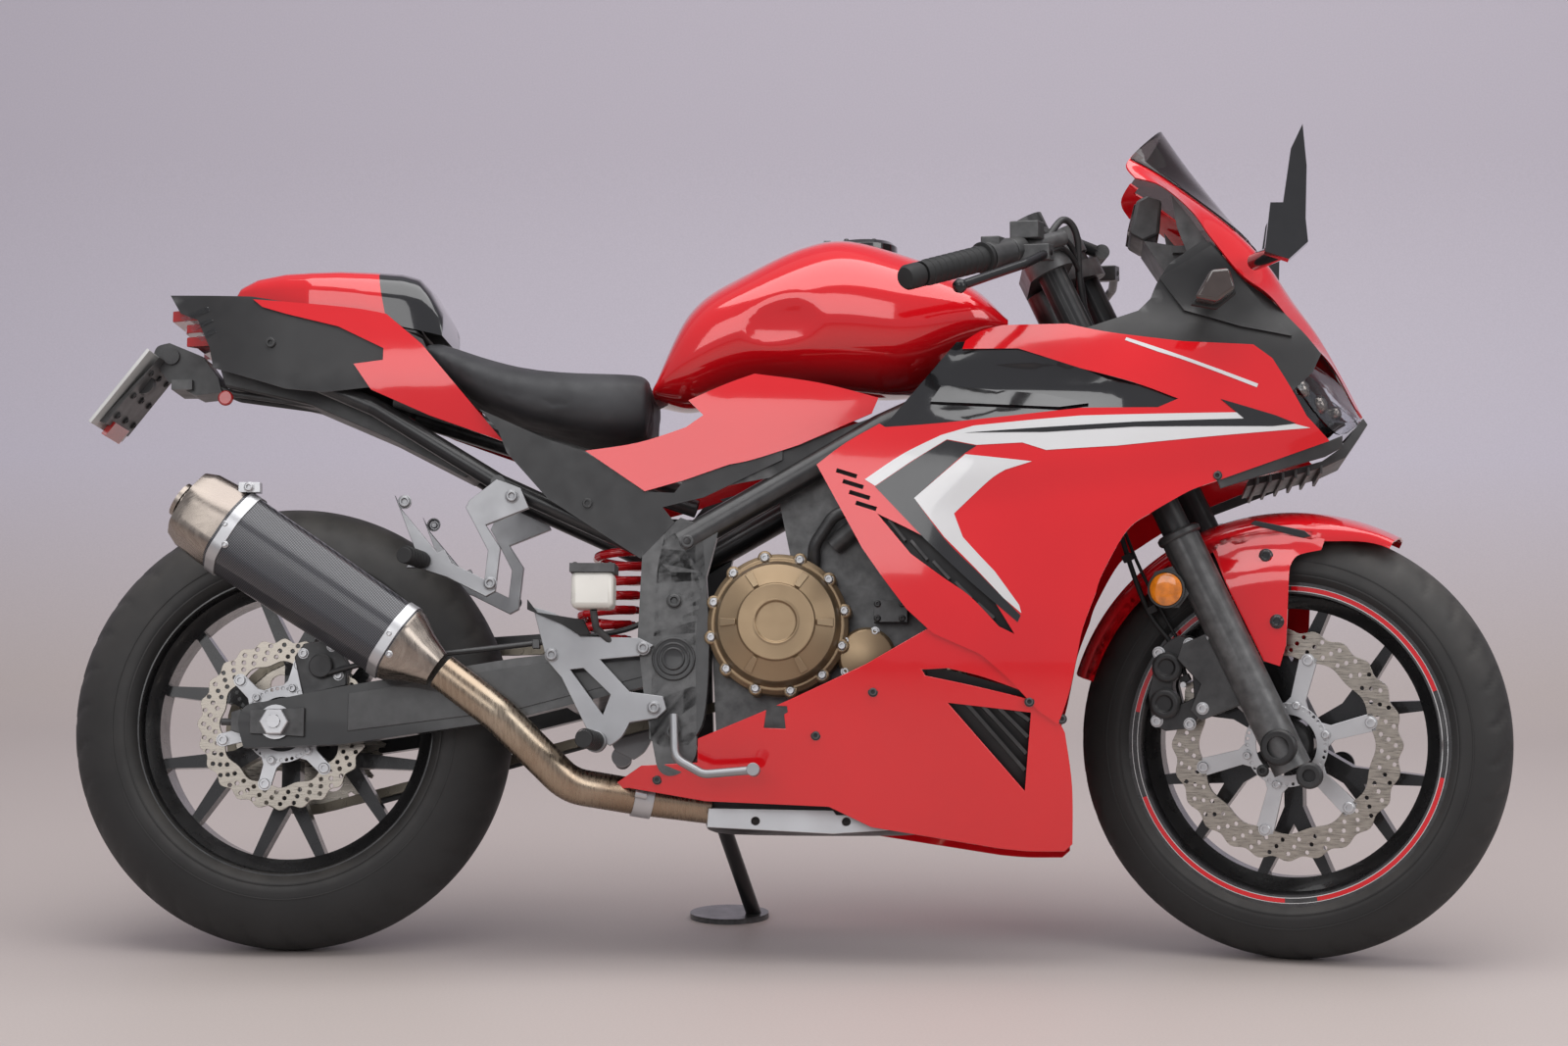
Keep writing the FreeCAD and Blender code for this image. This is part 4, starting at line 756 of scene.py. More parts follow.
def build_tank():
    """The tank with scoops for the rider's knees, and its filler cap."""
    tank = Form()
    stations = ((511, 795, 776, 70), (560, 905, 768, 105), (640, 960, 788, 126), (760, 1004, 790, 146),
                (870, 980, 790, 150), (960, 938, 830, 134), (1010, 890, 858, 100))
    rings = [ring((x, 0, (top + low) / 2), half, (top - low) / 2, 2.3, 72) for x, top, low, half in stations]
    smooth = smoothed_rings(rings, 14)
    scoop_x, scoop_y, scoop_z, scoop_radius = 668, 332, 838, 210
    for loop in smooth:
        for point in loop:
            reach = scoop_radius ** 2 - (point.x - scoop_x) ** 2 - (point.z - scoop_z) ** 2
            if reach > 0:
                wall = scoop_y - math.sqrt(reach)
                if abs(point.y) > wall:
                    point.y = math.copysign(wall, point.y)
            hump = eased(point.z, 900, 960) * eased(abs(point.y), 40, 75) * (1 - eased(abs(point.y), 80, 120))
            point.z += 4 * hump * eased(point.x, 600, 720) * (1 - eased(point.x, 880, 960))
    tank.loft(smooth)
    tank.piece("tank_shell", ["tank_paint"], replaces=["fuel_tank"], sharp=50)
    cap = Form()
    cap.lathe([(52, -12), (52, 3), (46, 9), (30, 10), (28, 7), (0, 7)], (800, 0, 998), (-0.04, 0, 1), 48)
    for x, y in circle(800, 0, 39, 6):
        cap.bolt((x, y, 1006), (-0.04, 0, 1), 3.5, 4)
    cap.block((752, 0, 1008), (10, 24, 8))
    cap.piece("filler_cap", ["black_gloss"], bevel=0.8)


def build_seat():
    """The saddle: the solid's form, blown out a little as cloth over foam."""
    source = NODES["rider_seat"]
    mesh = source.data.copy()
    seat = bpy.data.objects.new("saddle", mesh)
    seat.matrix_world = source.matrix_world
    bpy.context.scene.collection.objects.link(seat)
    grain = seat.modifiers.new("even", "REMESH")
    grain.mode = "VOXEL"
    grain.voxel_size = 0.006
    round_off = seat.modifiers.new("round", "SMOOTH")
    round_off.iterations = 6
    round_off.factor = 0.6
    bpy.context.view_layer.update()
    even = bpy.data.meshes.new_from_object(seat.evaluated_get(bpy.context.evaluated_depsgraph_get()))
    seat.modifiers.clear()
    seat.data = even
    start = [vertex.co.copy() for vertex in even.vertices]
    held = seat.vertex_groups.new(name="held")
    low = min(point.z for point in start)
    held.add([index for index, point in enumerate(start) if point.z < low + 0.035], 1.0, "REPLACE")
    cloth = seat.modifiers.new("foam", "CLOTH")
    cloth.settings.use_pressure = True
    cloth.settings.uniform_pressure_force = 4.0
    cloth.settings.effector_weights.gravity = 0.0
    cloth.settings.vertex_group_mass = "held"
    cloth.settings.quality = 3
    cloth.point_cache.frame_start = 1
    cloth.point_cache.frame_end = 20
    for number in range(1, 21):
        bpy.context.scene.frame_set(number)
    shaped = seat.evaluated_get(bpy.context.evaluated_depsgraph_get()).data
    for vertex, before, after in zip(even.vertices, start, shaped.vertices):
        move = after.co - before
        vertex.co = before + move.normalized() * min(move.length, 0.004)
    bpy.context.scene.frame_set(1)
    seat.modifiers.clear()
    even.materials.clear()
    even.materials.append(finishes["seat_cover"].material)
    even.polygons.foreach_set("use_smooth", [True] * len(even.polygons))
    soft = seat.modifiers.new("soft", "SUBSURF")
    soft.levels = soft.render_levels = 1
    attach(seat, "root")
    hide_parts("rider_seat")


DECK = ((-186, 926), (-88, 921), (190, 862))


def value_on(run, x):
    """The value at x of a run of straight pieces."""
    for (x_low, low), (x_high, high) in zip(run, run[1:]):
        if x <= x_high:
            return low + (high - low) * (x - x_low) / (x_high - x_low)
    return run[-1][1]


def build_tail():
    """The black tail with its deck, the red side panels and the lenses."""
    cowl = Form()
    cowl.skin([(-188, 929), (-62, 920), (47, 899), (134, 880), (190, 852), (215, 800), (196, 752),
               (119, 784), (50, 778), (-6, 784), (-97, 812), (-114, 817), (-121, 847),
               (-142, 889), (-170, 901)], cowl_flank, step=12)
    rows = []
    for x in range(-180, 190, 12):
        height = value_on(DECK, x)
        half = cowl_flank(x, height) - 1
        rows.append([Vector((x, half * share, height + 6 * (1 - share * share)))
                     for share in (-1, -0.8, -0.5, 0, 0.5, 0.8, 1)])
    cowl.thick([point for row in rows for point in row], sheet_faces(len(rows), 7), (0, 0, -3))
    for side in (-1, 1):
        cowl.bolt((-29, side * cowl_flank(-29, 850), 850), (0, side, 0), 7, 5)
    cowl.piece("tail_shell", ["black_plastic"], bevel=0.8)
    red = Form()
    red.skin([(-59, 915), (47, 904), [(100, 897), (137, 889)], (190, 844), (201, 831), (308, 706),
              (203, 743), (119, 780), (93, 817), (135, 822), (135, 839), (68, 872), (-9, 892),
              (-44, 903)], tail_flank, step=12)
    red.piece("tail_side_shells", ["red_paint"], replaces=["tail_panels"], bevel=0.9)

    lamp = Form()
    edge = [(x, cowl_flank(x, 890) - 5) for x in (-184, -160, -112)]
    for low, high in ((852, 866), (872, 884), (890, 906)):
        points = [(edge[0][0] + (906 - high) * 0.9, -edge[0][1] + 4), (-160, -edge[1][1]), (-112, -edge[2][1])]
        loop = points + [(x, -y) for x, y in reversed(points)]
        lamp.loft([[Vector((x, y, low)) for x, y in loop], [Vector((x, y, high)) for x, y in loop]])
    lamp.piece("tail_lenses", ["red_lens"], replaces=["tail_lamp"], bevel=1.5)
    strips = Form()
    for side in (-1, 1):
        for step in range(3):
            strips.skin([(-170 + 14 * step, 894 - 15 * step), (-128 + 6 * step, 908 - 16 * step),
                         (-124 + 6 * step, 902 - 16 * step), (-162 + 14 * step, 887 - 15 * step)],
                        cowl_flank, wall=2, lift=1.2, sides=(side,))
    strips.piece("tail_lens_strips", ["lamp_glass"], bevel=0.6)


def build_seat_cowl():
    """The hump over the passenger's place: red, with a gloss-black pad across its front."""
    seat = Form()
    tops = [(-92, 922), (-86, 940), (-60, 953), (-19, 960), (60, 962), (110, 960), (150, 957), (172, 951),
            (186, 932), (197, 900), (204, 868)]
    halves = [(-92, 50), (-60, 62), (20, 86), (90, 92), (150, 92), (180, 86), (204, 78)]
    right_half = ((-1, 1), (-1.02, 0.55), (-0.97, 0.3), (-0.86, 0.12), (-0.66, 0.03), (-0.3, 0))
    section = right_half + ((0, -0.02),) + tuple((-share, drop) for share, drop in reversed(right_half))
    pad_from, rear, length, steps = 118, -91, 294, 48
    rings, last = [], 0
    for step in range(steps + 1):
        x = rear + length * step / steps
        top, half, low = value_on(tops, x), value_on(halves, x), value_on(DECK, min(x, 190)) + 1
        tilt = 0.35 * eased(x, 20, 120)
        loop = []
        for share, drop in section:
            z = top - (top - low) * drop
            loop.append(Vector((min(x + tilt * (962 - z) * 0.6, 212), half * share, z)))
        rings.append(loop)
        if x < pad_from:
            last = step
    seat.loft(rings[:last + 1])
    seat.paint(1).loft(rings[last:])
    seat.piece("seat_cowl", ["red_paint", "black_gloss"], replaces=["passenger_seat"], sharp=50)


def build_tail_end():
    """The tray under the tail, the plate's bracket and the blank plate."""
    tray = Form()
    outline = [(-112, 822), (-104, 797), (20, 770), (133, 722), (245, 665), (262, 680), (140, 745), (30, 790),
               (-95, 838)]
    tray.plate(outline, -46, 46)
    tray.piece("tray_shell", ["black_plastic"], replaces=["undertail_tray"], bevel=2)
    hanger = Form()
    hanger.plate([(-214, 838), [(-208, 856), (-190, 862)], (-141, 842), (-118, 812), (-112, 790), (-150, 786),
                  (-190, 806)], -32, 32)
    hanger.rod((-227, -12, 804), (-227, -30, 804), 15, 15)
    hanger.plate([(-204, 826), (-196, 836), (-270, 741), (-280, 744)], -64, 64)
    hanger.block((-168, 0, 800), (30, 84, 14))
    hanger.rod((-186, -31, 842), (-186, -37, 842), 12)
    for y in (-24, 24):
        hanger.tube([(-150, y, 812), (-96, y, 789), (60, y, 768)], 4.5, 30)
    for x, z in ((-262, 757), (-240, 786), (-216, 818)):
        for y in (-46, 0, 46):
            hanger.bolt((x + 3, y, z - 2), (0.8, 0, -0.6), 5, 4)
    hanger.piece("plate_bracket", ["black_plastic"], replaces=["plate_hanger"], bevel=0.8)
    plate = Form()
    plate.plate([(-289, 740), (-285, 737), (-204, 841), (-208, 844)], -90, 90)
    plate.piece("blank_plate", ["plate_blank"], replaces=["number_plate"], bevel=0.6)
    glow = Form()
    glow.plate([(-283, 730), (-277, 726), (-262, 745), (-268, 749)], -40, 40)
    glow.lathe([(0, 0), (11, 0), (11, 3), (9, 5), (0, 5)], (-98, -66, 776), (0, -1, 0))
    glow.piece("rear_reflector", ["red_lens"], bevel=0.6)


# Nose, screen and lamps

NOSE_CENTRE = ((1226, 1166), (1263, 1111), (1312, 1046), (1352, 993), (1388, 948), (1420, 905),
               (1455, 855), (1484, 804), (1508, 757))
NOSE_SHOULDER = ((1176, 1101, 114), (1215, 1082, 113), (1268, 1045, 115), (1318, 1005, 116),
                 (1362, 960, 108), (1396, 915, 88), (1436, 868, 62), (1470, 815, 38), (1502, 762, 18))
NOSE_EDGE = ((1186, 1074, 134), (1222, 1060, 144), (1262, 1024, 150), (1290, 985, 150),
             (1330, 936, 145), (1372, 906, 132), (1415, 858, 105), (1458, 822, 72), (1496, 766, 28))


def nose_rows(depth):
    """Rows across the nose, a depth under its outside."""
    rows = []
    for (cx, cz), (sx, sz, sy), (ex, ez, ey) in zip(NOSE_CENTRE, NOSE_SHOULDER, NOSE_EDGE):
        between = Vector((cx + (sx - cx) * 0.28, sy * 0.55, cz + (sz - cz) * 0.28))
        side = [Vector((ex, ey, ez)) + Vector((-0.25, -0.93, -0.27)) * depth,
                Vector((sx, sy, sz)) + Vector((-0.62, -0.45, -0.62)) * depth,
                between + Vector((-0.74, -0.2, -0.62)) * depth]
        middle = Vector((cx, 0, cz)) + Vector((-0.78, 0, -0.62)) * depth
        rows.append(side + [middle] + [Vector((p.x, -p.y, p.z)) for p in reversed(side)])
    return rows


WINDOW = [(1100, -100), (1312, -100), [(1346, -66), (1362, 0), (1346, 66), (1312, 100)], (1100, 100)]


def build_nose():
    """The nose shell with its window, and the smoke screen that overlaps the window's rim."""
    grids = [fine_grid(nose_rows(depth), 8) for depth in (0, 3, -3.2)]
    flat, under, over = [[point for row in grid for point in row] for grid in grids]
    faces = sheet_faces(len(grids[0]), len(grids[0][0]))
    window = outline_of(WINDOW)
    wider = outline_of([(x + (8 if x > 1200 else 0), y * 1.08) for x, y in window])
    shell, screen = Form(), Form()

    def middle(face):
        return sum((flat[index] for index in face), Vector()) / len(face)

    shell.shell(flat, under, [face for face in faces if not holds(window, middle(face).xy)])
    shell.piece("nose_shell", ["red_paint"], replaces=["nose_cowl"], sharp=60)
    screen.thick(over, [face for face in faces if holds(wider, middle(face).xy)], (0, 0, -2.4))
    screen.piece("smoke_pane", ["smoke_screen"], replaces=["windscreen"], sharp=60)


def build_nose_sides():
    """The black panels beside the nose, what stands inside it and the chin below."""
    sides = Form()
    sides.skin([(1104, 851), (1178, 832), (1350, 822), (1378, 800), (1397, 770), (1428, 800), (1440, 826),
                [(1415, 858), (1372, 904), (1330, 934), (1290, 980)], (1275, 981), (1233, 951),
                [(1216, 925), (1206, 901)], (1189, 883)], nose_flank, step=12)
    sides.skin([(1218, 930), (1290, 975), (1336, 925), (1400, 850), (1330, 862), (1252, 884)],
               lambda x, z: nose_flank(x, z) + 4, wall=6, step=12)
    sides.piece("nose_flanks", ["black_plastic"], replaces=["nose_side_panels"], bevel=0.8)
    inner = Form()
    inner.skin([(1236, 1050), (1262, 1018), (1285, 985), (1258, 968), (1244, 1004)],
               lambda x, z: 128, wall=3)
    inner.plate([(1200, 1000), (1290, 985), (1400, 850), (1440, 770), (1380, 760), (1300, 850)], -60, 60)
    inner.block((1275, 0, 985), (70, 150, 10))
    inner.piece("nose_inner", ["black_plastic"], bevel=1)
    chin = Form()
    chin.plate([(1503, 747), (1467, 702), (1446, 687), [(1400, 674), (1345, 662)], (1342, 657), (1342, 651),
                (1346, 652), [(1400, 665), (1448, 678)], (1478, 692), (1509, 738)], -64, 64)
    for step in range(6):
        chin.block((1354 + 18 * step, 0, 655 + 4 * step), (4, 190 - 12 * step, 12))
    chin.skin([(1295, 648), (1415, 694), (1452, 708), (1470, 716), (1470, 700), (1446, 686), (1400, 671),
               (1300, 636)], lambda x, z: flank(x, z) - 10, wall=4)
    chin.piece("chin", ["black_plastic"], bevel=0.8)


def build_lamps():
    """Clear headlamp lenses over dark bowls with lights in them, and the turn signals."""
    low = [(1398, 790, 143), (1438, 738, 127), (1470, 721, 82), (1500, 744, 30)]
    high = [(1423, 822, 104), (1466, 799, 64), (1490, 773, 34), (1504, 752, 14)]
    mid = [((a + d) / 2 + 6, (b + e) / 2, (c + f) / 2 + 7) for (a, b, c), (d, e, f) in zip(low, high)]
    rows = [[Vector((x, -y, z)) for x, z, y in row] for row in (low, mid, high)]
    front = fine_grid(rows, 6)
    lens, bowl = Form(), Form()
    count, width = len(front), len(front[0])
    glass = [point for row in front for point in row]
    lens.thick(glass, [tuple(reversed(face)) for face in sheet_faces(count, width)], (-3, 1.5, 0))
    lens.mirror()
    lens.piece("lamp_lenses", ["lamp_glass"], replaces=["headlamps"], sharp=60)
    bowl.thick([point + Vector((-24, 12, 2)) for point in glass],
               [tuple(reversed(face)) for face in sheet_faces(count, width)], (-3, 2, 0))
    for x, y, z, size in ((1424, -108, 780, 15), (1450, -84, 762, 14), (1474, -52, 756, 10)):
        bowl.paint(1).lathe([(size, 0), (size, 10), (size * 0.9, 13)] + [
            (size * 0.82 * math.cos(a), 12 + size * 0.5 * math.sin(a)) for a in (0.0, 0.4, 0.8, 1.2, 1.57)],
            (x - 16, y + 10, z), (0.85, -0.5, 0.1), 24)
    bowl.mirror()
    bowl.piece("lamp_bowls", ["black_gloss", "cap_metal"], sharp=50)

    signals = Form()
    signals.plate([(1262, 884), (1284, 922), (1308, 924), (1316, 896), (1292, 878)], -246, -208)
    signals.mirror()
    signals.piece("signal_lenses", ["smoky_lens"], replaces=["turn_signals"], bevel=4)
    stalks = Form()
    stalks.tube([(1288, -140, 900), (1288, -212, 902)], 10, 10)
    stalks.plate([(1258, 880), (1283, 926), (1311, 928), (1320, 896), (1293, 874)], -210, -200)
    stalks.mirror()
    stalks.piece("signal_stalks", ["rubber"], bevel=2)


def build_dash():
    """The instrument panel behind the screen."""
    panel = Form()
    panel.plate([(1180, 1012), (1190, 1058), (1204, 1066), (1226, 1058), (1222, 1010), (1200, 1000)], -58, 58)
    panel.piece("dash_case", ["black_plastic"], replaces=["instrument_panel"], bevel=4)
    face = Form()
    face.plate([(1177.5, 1016), (1187, 1054), (1190, 1055), (1181, 1014)], -52, 52)
    face.piece("dash_face", ["smoke_screen"], bevel=0.6)


# Front end

def fender_flank(x, z):
    """The fender's arm, further out where it meets the fork."""
    return 69.5 + 20.5 * eased(288 - math.hypot(x - WHEELBASE, z - FRONT_RADIUS), 0, 60)


def build_fender():
    """The front fender: a crown that narrows to a beak, and arms down to the fork."""
    shell, vents = Form(), Form()
    rows = []
    for step in range(51):
        angle = math.radians(162 - 100 * step / 50)
        ahead, rise = math.cos(angle), math.sin(angle)
        beak = eased(step, 40, 50)
        right = [(-70 + 24 * beak, 286 + 20 * beak), (-70 + 26 * beak, 299 + 14 * beak),
                 (-60 + 22 * beak, 309 + 7 * beak), (-34 + 10 * beak, 317), (-10, 320)]
        section = right + [(-y, radius) for y, radius in reversed(right)]
        rows.append([Vector((WHEELBASE + radius * ahead, y, FRONT_RADIUS + radius * rise))
                     for y, radius in section])
    flat = [point for row in rows for point in row]
    inner = [point + (Vector((WHEELBASE, point.y, FRONT_RADIUS)) - point).normalized() * 3 for point in flat]
    shell.shell(flat, inner, sheet_faces(len(rows), len(rows[0])))
    shell.skin([(1385, 416), (1309, 575), [(1350, 587), (1410, 593)], (1468, 582), (1463, 567),
                [(1432, 560), (1422, 545)], (1416, 438), (1407, 409)], fender_flank, step=12)
    shell.piece("fender_shell", ["red_paint"], STEERED, "fork", ["front_fender"], sharp=50)
    vents.skin([(1365, 604), (1372, 609), (1440, 594), (1449, 586), (1438, 584)],
               lambda _x, _z: 71, wall=1.5, step=10)
    for x, z in ((1388, 560), (1404, 470)):
        for side in (-1, 1):
            vents.bolt((x, side * fender_flank(x, z), z), (0, side, 0), 8, 5)
    vents.piece("fender_trim", ["black_gloss"], STEERED, "fork", bevel=0.5)


def build_front_brake():
    """The caliper astride the disc with its bolts, and its hoses up the fork."""
    body, bolts = Form(), Form()
    outline = [(1233, 411), [(1246, 438), (1268, 452)], (1284, 446), (1300, 430), (1302, 395), (1300, 357),
               [(1290, 333), (1275, 323)], (1248, 320), (1229, 329), (1224, 370)]
    window = [(1262, 412), (1286, 404), (1288, 366), (1264, 354), (1258, 380)]
    body.plate(outline, -94, -70, [window])
    body.plate(outline, -54, -38, [window])
    for x, z in ((1252, 408), (1248, 358)):
        body.lathe([(21, -6), (21, 6), (18, 10), (12, 10), (11, 7), (0, 7)], (x, -94, z), steps=32)
    body.plate([(1345, 470), (1275, 440), (1268, 420), (1300, 385), (1285, 350), (1300, 335), (1365, 360)],
               -108, -98)
    body.piece("caliper_body", ["black_casting"], STEERED, "fork", ["front_caliper"], bevel=1.4)
    for x, y, z in ((1283, -94, 440), (1240, -94, 428), (1236, -94, 334), (1282, -94, 330), (1303, -108, 352),
                    (1318, -108, 452)):
        bolts.bolt((x, y, z), radius=7, height=6)
    bolts.rod((1274, -98, 384), (1274, -36, 384), 4)
    bolts.piece("caliper_bolts", ["silver_casting"], STEERED, "fork")
    hose = Form()
    hose.tube([(-44, -84, 452), (-42, -82, 506), (-52, -80, 560), (-46, -76, 640), (-32, -60, 740),
               (-16, -52, 850)], 3.6, smooth=True)
    hose.tube([(-30, -70, 470), (-36, -72, 540), (-38, -66, 650), (-24, -50, 800)], 2.4, smooth=True)
    for y, z in ((-84, 456), (-80, 562), (-76, 642)):
        hose.block((-46, y, z), (14, 12, 10))
    hose.piece("brake_hoses", ["rubber"], FORK, "fork", bevel=0.5)


def build_fork_trim():
    """Reflectors on their stays, and the collars of the sliders."""
    stay = Form()
    for side in (-1, 1):
        stay.plate([(-26, 556), (-30, 590), (-12, 604), (14, 600), (18, 556), (-4, 545)],
                   side * 116, side * 121)
        stay.lathe([(0, 0), (26, 0), (26, 7), (23, 7), (23, 4), (0, 4)], (-7, side * 120, 575),
                   (0, side, 0), 36)
    stay.piece("reflector_stays", ["black_plastic"], FORK, "fork", bevel=0.6)
    disc = Form()
    for side in (-1, 1):
        disc.lathe([(22.5, 0), (22.5, 7), (19, 9), (10, 10), (0, 10)], (-7, side * 121, 575), (0, side, 0), 40)
    disc.piece("reflectors", ["amber_lens"], FORK, "fork")
    legs = Form()
    for side in (-1, 1):
        legs.lathe([(29, 0), (31, 3), (31, 9), (27.5, 12)], (37, side * 100, 630), (0, 0, 1), 40)
        legs.lathe([(18, 0), (18, 9), (15, 11), (9, 11), (9, 6), (0, 6)], (60, side * 128, 262),
                   (0, side, 0), 32)
    legs.piece("fork_collars", ["black_casting"], FORK, "fork", bevel=0.4)


def build_axles():
    """The ends of both axles and the chain's adjusters."""
    front, rear = Form(), Form()
    front.lathe([(25, 0), (25, 10), (22, 13), (15, 13), (15, 4), (0, 4)], (WHEELBASE, -118, FRONT_RADIUS))
    front.bolt((1388, -124, 268), radius=7, height=6)
    front.piece("front_axle", ["black_casting"], STEERED, "fork", bevel=0.5)
    rear.nut((0, -132, REAR_RADIUS), radius=20, height=14)
    rear.rod((0, -140, REAR_RADIUS), (0, -149, REAR_RADIUS), 9)
    rear.nut((0, 132, REAR_RADIUS), (0, 1, 0), 20, 14)
    rear.piece("axle_nuts", ["silver_casting"])
    blocks = Form()
    for side in (-1, 1):
        blocks.plate([(-36, 296), (-36, 328), (40, 332), (40, 292)], side * 127, side * 134)
        blocks.plate([(-64, 300), (-64, 326), (-50, 330), (-50, 296)], side * 102, side * 126)
        blocks.rod((-64, side * 114, 313), (-80, side * 114, 313), 5)
    blocks.piece("chain_adjusters", ["black_casting"], bevel=0.8)


# Wheels

def tread(name, node, place, body, outer, half, count):
    """A tyre of turned section, with sipes pressed into its tread."""
    form = Form()
    inner = outer - half * 1.15
    roundness = 0.9
    section = []
    for step in range(25):
        angle = math.pi * step / 24
        section.append((math.cos(angle) * half, inner + (outer - inner) * math.sin(angle) ** roundness))
    inside = [(-half * 0.74, inner - 14), (-half * 0.6, inner - 6), (half * 0.6, inner - 6),
              (half * 0.74, inner - 14)]
    loop = section + inside
    rings = []
    steps = 12 * count
    for step in range(steps):
        angle = math.tau * step / steps
        phase = (step / 12) % 1.0
        ring_points = []
        for across, radius in loop:
            depth = 0.0
            share = abs(across) / half
            if radius > inner and 0.12 < share < 0.86:
                line = (phase + share * 0.9 + (0.5 if across > 0 else 0.0)) % 1.0
                if line < 0.16 and 0.2 < share < 0.78:
                    depth = 2.4
                elif 0.16 <= line < 0.26 and 0.35 < share < 0.6:
                    depth = 1.6
            r = radius - depth
            ring_points.append(Vector((r * math.cos(angle), across, r * math.sin(angle))))
        rings.append(ring_points)
    form.loft(rings, closed_ends=False, wrap=True)
    form.piece(name, ["tyre"], place, body, [node], sharp=70)
    lines = Form()
    for side in (-1, 1):
        for low, high in ((inner + 2, inner + 4), (inner + 22, inner + 23.5)):
            across = half * math.cos(math.asin(((low - inner) / (outer - inner)) ** (1 / roundness)))
            lines.lathe([(low, 0), (low, 0.8), (high, 0.8), (high, 0)], (0, side * across, 0),
                        (0, side, 0), 120)
    lines.piece(name + "_ribs", ["tyre"], place, body)


def build_rim_trim(name, place, body, half, radius, first_red):
    """Four red arcs between thin white lines, on both sides of a rim."""
    red, white = Form(), Form()
    for side in (-1, 1):
        y = side * (half + 6.4)
        for quarter in range(4):
            first = first_red + (0, 80, 180, 260)[quarter]
            arc_band(red, radius, radius + 6, first, first + 68, y, side)
        arc_band(white, radius - 1.2, radius - 0.2, 0, 360, y, side)
        arc_band(white, radius + 6.2, radius + 7.0, 0, 360, y, side)
    red.piece(name + "_red", ["red_paint"], place, body)
    white.piece(name + "_lines", ["decal_white"], place, body)


def build_disc(name, node, place, body, radius, band_width, y, thick, hub):
    """A waved brake disc with rows of holes, its carrier and fasteners."""

    def waved(middle, depth, waves, steps):
        angles = [math.tau * step / steps for step in range(steps)]
        radii = [middle + depth * math.cos(waves * angle) for angle in angles]
        return [(r * math.cos(angle), r * math.sin(angle)) for r, angle in zip(radii, angles)]

    holes = [waved(radius - band_width, 2.5, 12, 120)]
    for row, share in enumerate((0.26, 0.5, 0.74)):
        for x, z in circle(0, 0, radius - band_width * share, 36, math.tau * row / 108):
            holes.append(circle(x, z, 3.2, 8))
    disc = Form()
    disc.plate(waved(radius - 3, 3, 24, 192), y - thick / 2, y + thick / 2, holes)
    disc.piece(name + "_disc", ["disc_steel"], place, body, [node], bevel=0.3)
    carrier, pins = Form(), Form()
    edge = radius - band_width - 3
    for arm in range(6):
        angle = math.tau * arm / 6 + 0.26
        half_arm = [(hub, -0.42), (hub * 1.28, -0.16), (edge + 8, -0.10)]
        around = half_arm + [(edge + 11, 0)] + [(r, -turn) for r, turn in reversed(half_arm)]
        carrier.plate([(r * math.cos(angle + turn), r * math.sin(angle + turn)) for r, turn in around],
                      y - 2.5, y + 3.5)
        for r, head_y, size, height in ((edge + 3, y - 2.4, 7.5, 4), (hub + 4, y - 4, 5.5, 5)):
            pins.bolt((r * math.cos(angle), head_y, r * math.sin(angle)), radius=size, height=height)
    ring_holes = [circle(0, 0, hub - 10, 48)]
    ring_holes += [circle(x, z, 2.4, 6) for x, z in circle(0, 0, hub + 2, 40)]
    carrier.plate(circle(0, 0, hub + 6, 72), y - 4, y - 2.6, ring_holes)
    carrier.piece(name + "_carrier", ["silver_casting"], place, body, bevel=0.4)
    pins.piece(name + "_pins", ["silver_casting"], place, body)


CHAIN_Y, LINK = 92, 15.875
REAR_PITCH, DRIVE_PITCH = 111.3, 38.2       # pitch radii of the sprockets
DRIVE_CENTRE = (640, 405)


def build_sprocket():
    """The rear sprocket's teeth and openings."""
    teeth, outline = 44, []
    for step in range(teeth * 6):
        angle = math.tau * step / (teeth * 6)
        r = REAR_PITCH + (4.5 if step % 6 in (0, 1, 5) else -4.5)
        outline.append((r * math.cos(angle), r * math.sin(angle)))
    cuts = [circle(0, 0, 46, 40)] + [circle(x, z, 15, 16) for x, z in circle(0, 0, 80, 6)]
    sprocket = Form()
    sprocket.plate(outline, CHAIN_Y - 3, CHAIN_Y + 3, cuts)
    sprocket.piece("sprocket_teeth", ["disc_steel"], REAR_WHEEL, "rear_wheel", ["rear_sprocket"], bevel=0.3)


def chain_path():
    """The closed path of the chain's pins around both sprockets."""
    start, end = Vector((0, REAR_RADIUS)), Vector(DRIVE_CENTRE)
    line = end - start
    lean = math.atan2(line.y, line.x)
    open_angle = math.acos((REAR_PITCH - DRIVE_PITCH) / line.length)
    path = []
    for centre, radius, first, last in ((end, DRIVE_PITCH, lean + open_angle, lean - open_angle),
                                        (start, REAR_PITCH, lean - open_angle, lean + open_angle - math.tau)):
        for step in range(33):
            angle = first + (last - first) * step / 32
            path.append(centre + Vector((math.cos(angle), math.sin(angle))) * radius)
    return path


